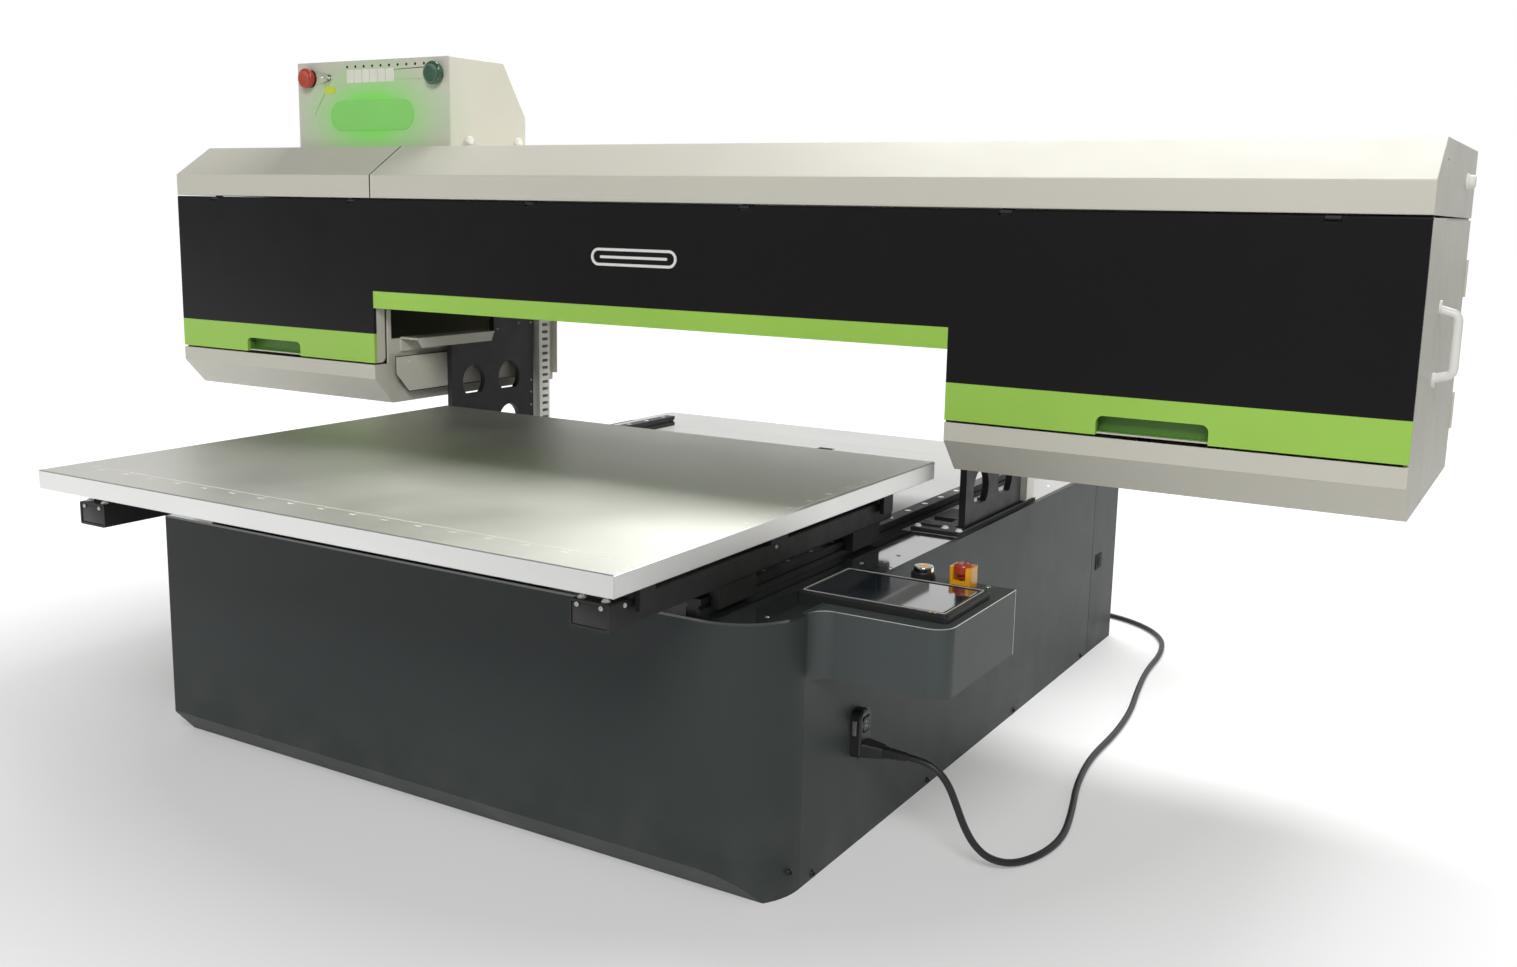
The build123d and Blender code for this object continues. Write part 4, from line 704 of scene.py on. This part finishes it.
def bed_rulers():
    """The engraved line and marks along the bed's front edge, and the marks down its right side."""
    mesh = bmesh.new()
    line_y, line_x0 = BED_LOW.y + 57, BED_LOW.x + 30
    right_x = BED_HIGH.x - 14

    def engrave(x0, x1, y0, y1):
        add_box(mesh, (x0, y0, BED_HIGH.z - 0.3), (x1, y1, BED_HIGH.z + 0.12), 0.05, 1)

    engrave(line_x0, BED_HIGH.x - 6, line_y - 0.5, line_y + 0.5)
    engrave(right_x + 7.6, right_x + 8.4, BED_LOW.y + 20, BED_HIGH.y - 8)
    x = right_x - 31.5
    while x > line_x0:
        engrave(x - 4.5, x + 4.5, line_y - 12.2, line_y - 9.4)
        engrave(x - 0.5, x + 0.5, line_y - 5, line_y)
        x -= RULE_STEP
    y = BED_LOW.y + 116
    while y < BED_HIGH.y - 20:
        engrave(right_x - 4.5, right_x + 2.5, y - 2.6, y + 2.6)
        y += RULE_STEP
    piece("bed_rulers", mesh, "ink", "bed")


def bed_bolts():
    """Pale bolts and screws at the front ends of the bed tubes, and screws along their outer sides."""
    mesh = bmesh.new()
    tube_low, tube_high = cad("bed_tubes")
    half_tube = 25
    for side in (-1, 1):
        centre = side * (tube_high.x - half_tube)
        for dx in (-15, 15):
            add_bolt(mesh, (centre + dx, tube_low.y + 8, tube_high.z), (0, 0, 1), 3.2, 3.0)
            add_screw(mesh, (centre + dx, tube_low.y, tube_high.z - 5), (0, -1, 0), 2.6, 1.8)
        for y in (tube_low.y + 26, -500, tube_high.y - 20):
            add_screw(mesh, (side * tube_high.x, y, tube_high.z - 6), (side, 0, 0), 2.6, 1.8)
    piece("bed_bolts", mesh, "white", "bed")


def tube_caps():
    """Moulded caps pushed into the open ends of the bed tubes."""
    mesh = bmesh.new()
    low, high = cad("bed_tubes")
    for side in (-1, 1):
        x0, x1 = sorted((side * (high.x - 47), side * (high.x - 3)))
        for y0, y1 in ((low.y + 0.6, low.y + 9), (high.y - 9, high.y - 0.6)):
            add_box(mesh, (x0 + 0.2, y0, low.z + 3.2), (x1 - 0.2, y1, high.z - 3.2), 1.0)
    piece("tube_caps", mesh, "plastic", "bed")


# ---------------------------------------------------------------- gantry: covers and door
GANTRY_LOW, GANTRY_HIGH = cad("top_covers")
FRONT_Y = GANTRY_LOW.y


def hood_fittings():
    """The round knob and small screws on the hood's right end, and screws along the gantry's back."""
    knob = bmesh.new()
    add_turned(knob, [(10.0, 0), (10.4, 1.5), (10.0, 3.0), (8.6, 3.4), (8.6, 8.5), (7.4, 10.5), (0, 11.0)],
               Matrix.Translation((GANTRY_HIGH.x, 127, 826)) @ facing((1, 0, 0)), 32)
    piece("hood_knob", knob, "duct", "gantry")
    screws = bmesh.new()
    for y, z in ((-122, 845), (215, 826)):
        add_screw(screws, (GANTRY_HIGH.x, y, z), (1, 0, 0), 2.6, 1.4)
    back = cad("gantry_rear_cover")[1].y
    for x in (-460, -230, 0, 230, 460):
        for z in (612, 768):
            add_screw(screws, (x, back, z), (0, 1, 0), 3.2, 1.8)
    for x in (-970, -757, -545, 545, 800, 1030):
        for z in (470, 760, 800):
            add_screw(screws, (x, back, z), (0, 1, 0), 3.2, 1.8)
    piece("gantry_screws", screws, "zinc", "gantry")


def hood_seam():
    """The dark joint between the hood's two sheets and a bright strip beside it, a painted highlight of the
    sheet's edge.
    """
    foot_z, fold_z, top_z = GANTRY_LOW.z + 3.0, 820.0, GANTRY_HIGH.z
    slope_y = FRONT_Y + 74.0             # where the sloping front meets the flat top
    end_y = slope_y + 30
    joint_x, middle_x, edge_x = -516.6, -513.8, -512.6
    line = [(FRONT_Y, foot_z), (FRONT_Y, fold_z), (slope_y, top_z), (end_y, top_z)]
    # The white strip beside the joint is a painted highlight of the sheet's edge.
    for name, look, x0, x1, proud in (("hood_joint", "hole", joint_x, middle_x, 0.35),
                                      ("hood_edge_highlight", "white", middle_x, edge_x, 0.3)):
        outer = [(FRONT_Y - proud, foot_z), (FRONT_Y - proud, fold_z + 0.1), (slope_y - 0.2, top_z + proud),
                 (end_y, top_z + proud)]
        mesh = bmesh.new()
        add_slab(mesh, line + outer[::-1], x0, x1, "X")
        piece(name, mesh, look, "gantry")


def wing_panels():
    """The removable panels on the inner faces of the two wings, with one cut corner each."""
    outline = [(-181, 490), (-152, 459), (190, 459), (190, 519), (-181, 519)]
    gap_outline = [(-182.4, 489.4), (-152.6, 457.6), (191.4, 457.6), (191.4, 520.4), (-182.4, 520.4)]
    sheet = 1.4
    for name, node, side in (("left_wing_panel", "left_wing", 1), ("right_wing_panel", "right_wing", -1)):
        low, high = cad(node)
        x = high.x if side > 0 else low.x
        mesh = bmesh.new()
        add_slab(mesh, outline, x, x + sheet * side, "X")
        bmesh.ops.bevel(mesh, geom=[e for e in mesh.edges if abs(e.verts[0].co.x - e.verts[1].co.x) < 0.1],
                        offset=0.5, segments=2, affect="EDGES")
        piece(name, mesh, "hood", "gantry")
        gap = bmesh.new()
        add_slab(gap, gap_outline, x, x + 0.35 * side, "X")
        piece(name + "_seam", gap, "hole", "gantry")
        screws = bmesh.new()
        for y in (-150, 20, 175):
            add_screw(screws, (x + sheet * side, y, 510), (side, 0, 0), 2.4, 1.2)
        piece(name + "_screws", screws, "zinc", "gantry")


def door_details():
    """Green liners in the two door pulls, darker green as painted shade of the recess, and a blank badge: an
    outline with a bar in it.
    """
    half, wall = 69.2, 1.2
    y0, y1 = -211.6, -198.2
    z0, z1 = 514.3, 538.7
    for name, x in (("left_pull_liner", -760.0), ("right_pull_liner", 776.5)):
        mesh = bmesh.new()
        add_box(mesh, (x - half, y1 - wall, z0), (x + half, y1, z1), 0.3)
        add_box(mesh, (x - half, y0, z1 - 1.3), (x + half, y1, z1), 0.3)
        add_box(mesh, (x - half, y0, z0), (x + half, y1, z0 + 0.9), 0.3)
        for side in (-1, 1):
            middle = x + side * (half - wall / 2)
            add_box(mesh, (middle - wall / 2, y0, z0), (middle + wall / 2, y1, z1), 0.3)
        piece(name, mesh, "green_painted_shade", "front_door")
    badge = bmesh.new()
    outer, inner = rounded(-62, 90, 690, 716, 13), rounded(-58, 86, 694, 712, 9)
    add_band(badge, outer, inner, FRONT_Y, FRONT_Y - 1.2, "Y")
    add_slab(badge, rounded(-46, 74, 701, 705, 2, 4), FRONT_Y - 1.0, FRONT_Y, "Y")
    piece("name_badge", badge, "white", "front_door")


# ---------------------------------------------------------------- top box
BOX_LOW, BOX_HIGH = cad("top_box")
BOX_FRONT = BOX_LOW.y
BUTTON_Z = 988.0


def box_front():
    """Vent dots, blank labels, a blank tag and the lit window."""
    dots = bmesh.new()
    count, first_x, span = 10, -664, 179
    for step in range(count):
        x = first_x + step * span / (count - 1)
        add_turned(dots, [(2.3, -0.2), (2.3, 0.3), (1.7, 0.5), (0, 0.5)],
                   Matrix.Translation((x, BOX_FRONT, 1005)) @ facing((0, -1, 0)), 16)
    piece("box_dots", dots, "hole", "gantry")
    labels = bmesh.new()
    x, gap = -665.0, 1.4
    for width in (17.0, 17.0, 17.0, 17.0, 17.0, 19.0):
        add_slab(labels, rounded(x, x + width, 978, 1000, 1.5, 3), BOX_FRONT - 0.35, BOX_FRONT, "Y")
        x += width + gap
    piece("box_labels", labels, "label", "gantry")
    tag = bmesh.new()
    add_slab(tag, rounded(-721, -694, 961, 974, 2.5, 4), BOX_FRONT - 0.5, BOX_FRONT, "Y")
    piece("box_tag", tag, "tag", "gantry")
    window = bmesh.new()
    half = 25
    outline = rounded(-706, -510, GLOW_Z - half, GLOW_Z + half, half, 10)
    add_slab(window, outline, BOX_FRONT - 1.6, BOX_FRONT, "Y")
    front_edges = [e for e in window.edges if max(v.co.y for v in e.verts) < BOX_FRONT - 1]
    bmesh.ops.bevel(window, geom=front_edges, offset=1.1, segments=3, affect="EDGES")
    piece("lit_window", window, "lit", "gantry")


def box_controls():
    """Collars of the two buttons, the switch's nut, the buttons' caps, and the cover's thumbscrews."""
    collars = bmesh.new()
    for node in ("red_button", "green_button"):
        low, high = cad(node)
        x = (low.x + high.x) / 2
        place = Matrix.Translation((x, BOX_FRONT, BUTTON_Z)) @ facing((0, -1, 0))
        add_turned(collars, [(15.5, 0), (15.5, 0.4), (15.1, 0.7), (13.2, 0.7), (13.2, 0)], place, 36)
    piece("button_collars", collars, "plastic", "gantry")
    nut = bmesh.new()
    low, high = cad("toggle_lever")
    place = Matrix.Translation(((low.x + high.x) / 2, BOX_FRONT, BUTTON_Z)) @ facing((0, -1, 0))
    add_turned(nut, [(-6.4, 0), (-6.4, 1.6), (6.0, 2.0), (5.4, 2.0), (5.4, 0)], place, 24, 6)
    piece("toggle_nut", nut, "silver", "gantry")
    for node, look, slot in (("red_button", "red", "red_plastic"),
                             ("green_button", "lens_green", "green_plastic")):
        low, high = cad(node)
        place = Matrix.Translation(((low.x + high.x) / 2, low.y, BUTTON_Z)) @ facing((0, -1, 0))
        reach = (high.x - low.x) / 2
        cap = bmesh.new()
        add_turned(cap, [(reach - 3.4, -0.4), (reach - 3.4, 0.5), (reach - 4.6, 1.1), (reach - 6.0, 0.7),
                         (reach - 7.2, 0.2), (0, 0.05)], place, 36)
        piece(node + "_cap", cap, look, node)
    thumbs = bmesh.new()
    for x, side in ((BOX_HIGH.x, 1), (BOX_LOW.x, -1)):
        for y, z in ((-75, 881), (52, 884)):
            place = Matrix.Translation((x, y, z)) @ facing((side, 0, 0))
            add_turned(thumbs, [(6.5, 0), (6.8, 1), (6.8, 6.5), (6.0, 8.0), (0, 8.4)], place, 20)
    piece("box_thumbscrews", thumbs, "white", "gantry")


# ---------------------------------------------------------------- gantry: inside
def leg_bolts():
    """Bolts that hold the legs to the beam, and small screws on both faces of each leg."""
    mesh = bmesh.new()
    leg_x, plate = cad("legs")[1].x, 10
    for side in (-1, 1):
        outer, inner = side * leg_x, side * (leg_x - plate)
        for y in (58, 95, 132):
            for z in (655, 675):
                add_bolt(mesh, (outer, y, z), (side, 0, 0), 4.2, 4.0)
                add_bolt(mesh, (inner, y, z), (-side, 0, 0), 4.2, 4.0)
        for z in (452, 430, 405, 560):
            add_screw(mesh, (inner, 143, z), (-side, 0, 0), 2.4, 1.4)
            add_screw(mesh, (outer, 143, z), (side, 0, 0), 2.4, 1.4)
        for y, z in ((49, 553), (108, 560.6)):
            add_screw(mesh, (inner, y, z), (-side, 0, 0), 2.2, 1.6)
    piece("leg_bolts", mesh, "steel", "gantry")


def duct_lids():
    """The snap-on lids of the two wiring ducts."""
    mesh = bmesh.new()
    low, high = cad("wiring_ducts")
    for side in (-1, 1):
        x0, x1 = sorted((side * (high.x + 0.2), side * (high.x + 2.4)))
        add_box(mesh, (x0, low.y - 0.8, low.z + 2), (x1, high.y + 0.8, high.z - 2), 0.7)
    piece("duct_lids", mesh, "duct", "base")


def carriage_details():
    """Ink dampers with their stubs on the carriage, and the screws in its front."""
    front = cad("carriage_body")[0].y
    heads_low, heads_high = cad("print_heads")
    centre = (heads_low.x + heads_high.x) / 2
    dampers = bmesh.new()
    low_z, top_z = 742, 762
    for x in (centre - 48, centre, centre + 48):
        for y in (-120, -60):
            add_box(dampers, (x - 11, y - 12, low_z), (x + 11, y + 12, top_z), 2.0, 3)
            add_turned(dampers, [(4, 0), (4, 5), (2.6, 6), (2.6, 10), (0, 10)],
                       Matrix.Translation((x, y, top_z)), 16)
    piece("ink_dampers", dampers, "duct", "carriage")
    screws = bmesh.new()
    for x in (centre - 72, centre + 72):
        for z in (590, 680, 755):
            add_screw(screws, (x, front, z), (0, -1, 0), 3.2, 1.8)
    piece("carriage_screws", screws, "zinc", "carriage")


base_screws()
side_latches()
deck_screws()
rail_plugs()
seal_bolts()
pod_rim_highlight()
screen_marks()
start_button_details()
estop_details()
inlet_details()
bed_rulers()
bed_bolts()
tube_caps()
hood_fittings()
hood_seam()
wing_panels()
door_details()
box_front()
box_controls()
leg_bolts()
duct_lids()
carriage_details()

# ---------------------------------------------------------------- floor, light and camera
BACKWARD = (-0.52, 0.85)                 # the way the machine's bright surround lies, seen from above
FADE_START, FADE_END = 0.85, 1.65        # metres from the origin
RIGHT_START, RIGHT_END = 1.3, 2.0        # metres to the operator's right
FRONT_START, FRONT_END = -1.6, -1.05     # metres along BACKWARD


def grey(level):
    """A neutral colour."""
    return (level, level, level)


def floor():
    """A wide pale floor with painted light and shade: it glows brighter far out, fading into the bright
    surround, and is painted dimmer near the machine, on the operator's side and far to the right.
    """
    mesh = bmesh.new()
    bmesh.ops.create_grid(mesh, x_segments=8, y_segments=8, size=30.0)
    data = bpy.data.meshes.new("floor")
    mesh.to_mesh(data)
    mesh.free()
    paint = surface("floor_paint", grey(0.60), 0.80, mottle=0.01, patches=0.6, specular=0.1)
    tree = paint.node_tree
    shader = tree.nodes["Principled BSDF"]
    length = tree.nodes.new("ShaderNodeVectorMath")
    length.operation = "LENGTH"
    tree.links.new(own_coordinates(tree), length.inputs[0])
    # Painted shadow: near the machine the floor glows less, so it reads darker.
    far = between(tree, length.outputs["Value"], 0.0, 1.0, FADE_START, FADE_END)
    tree.links.new(mix_colour(tree, far, grey(0.60), grey(0.20)), shader.inputs["Base Color"])
    glow = mix_colour(tree, far, grey(0.24), grey(1.0))
    # Painted shade: the glow drops far to the right and on the operator's side.
    right = between(tree, axis_value(tree, "X"), 1.0, 0.10, RIGHT_START, RIGHT_END)
    near = tree.nodes.new("ShaderNodeVectorMath")
    near.operation = "DOT_PRODUCT"
    near.inputs[1].default_value = (*BACKWARD, 0.0)
    tree.links.new(own_coordinates(tree), near.inputs[0])
    front = between(tree, near.outputs["Value"], 0.25, 1.0, FRONT_START, FRONT_END)
    tree.links.new(mix_colour(tree, multiply(tree, right, front), grey(0.15), glow),
                   shader.inputs["Emission Color"])
    shader.inputs["Emission Strength"].default_value = 1.0
    data.materials.append(paint)
    thing = bpy.data.objects.new("floor", data)
    bpy.context.scene.collection.objects.link(thing)


def soft_light(name, place, target, width, height, power):
    """A large soft panel light aimed at a point."""
    lamp = bpy.data.lights.new(name, "AREA")
    lamp.shape = "RECTANGLE"
    lamp.size = width
    lamp.size_y = height
    lamp.energy = power
    thing = bpy.data.objects.new(name, lamp)
    thing.location = place
    thing.rotation_euler = (Vector(target) - Vector(place)).to_track_quat("-Z", "Y").to_euler()
    bpy.context.scene.collection.objects.link(thing)


def world_light():
    """A pale surround: bright behind the machine, dimmer overhead and on the near side."""
    world = bpy.data.worlds.new("studio")
    world.use_nodes = True
    tree = world.node_tree
    background = tree.nodes["Background"]
    coords = tree.nodes.new("ShaderNodeTexCoord")
    split = tree.nodes.new("ShaderNodeSeparateXYZ")
    tree.links.new(coords.outputs["Generated"], split.inputs["Vector"])
    toward_back = tree.nodes.new("ShaderNodeVectorMath")
    toward_back.operation = "DOT_PRODUCT"
    toward_back.inputs[1].default_value = (*BACKWARD, 0.0)
    tree.links.new(coords.outputs["Generated"], toward_back.inputs[0])
    round_level = between(tree, toward_back.outputs["Value"], 0.45, 1.0, 0.20, 0.70)
    level = multiply(tree, between(tree, split.outputs["Z"], 1.0, 0.25, 0.30, 0.60), round_level)
    tree.links.new(level, background.inputs["Color"])
    bpy.context.scene.world = world


def camera():
    """The camera, from its place and its yaw, pitch and roll in radians."""
    yaw, pitch, roll = -0.5502, -0.1734, 0.0171
    forward = Vector((math.sin(yaw) * math.cos(pitch), math.cos(yaw) * math.cos(pitch), math.sin(pitch)))
    level = Vector((math.cos(yaw), -math.sin(yaw), 0.0))
    upright = level.cross(forward)
    right = level * math.cos(roll) + upright * math.sin(roll)
    up = upright * math.cos(roll) - level * math.sin(roll)
    data = bpy.data.cameras.new("camera")
    data.sensor_width = 36.0
    data.lens = 33.65
    data.shift_x = 0.0206
    data.shift_y = -0.0191
    place = (1.22445, -1.92041, 0.77972)
    thing = bpy.data.objects.new("camera", data)
    turn = Matrix((right, up, -forward)).transposed()
    thing.matrix_world = Matrix.Translation(place) @ turn.to_4x4()
    bpy.context.scene.collection.objects.link(thing)
    bpy.context.scene.camera = thing


floor()
soft_light("ceiling", (0.2, 1.9, 3.2), (0.0, -0.3, 0.4), 3.4, 0.9, 165.0)
soft_light("front", (1.7, -3.3, 3.0), (0.2, 0.0, 0.5), 1.8, 1.2, 100.0)
world_light()
camera()
bpy.context.scene.view_settings.view_transform = "Standard"
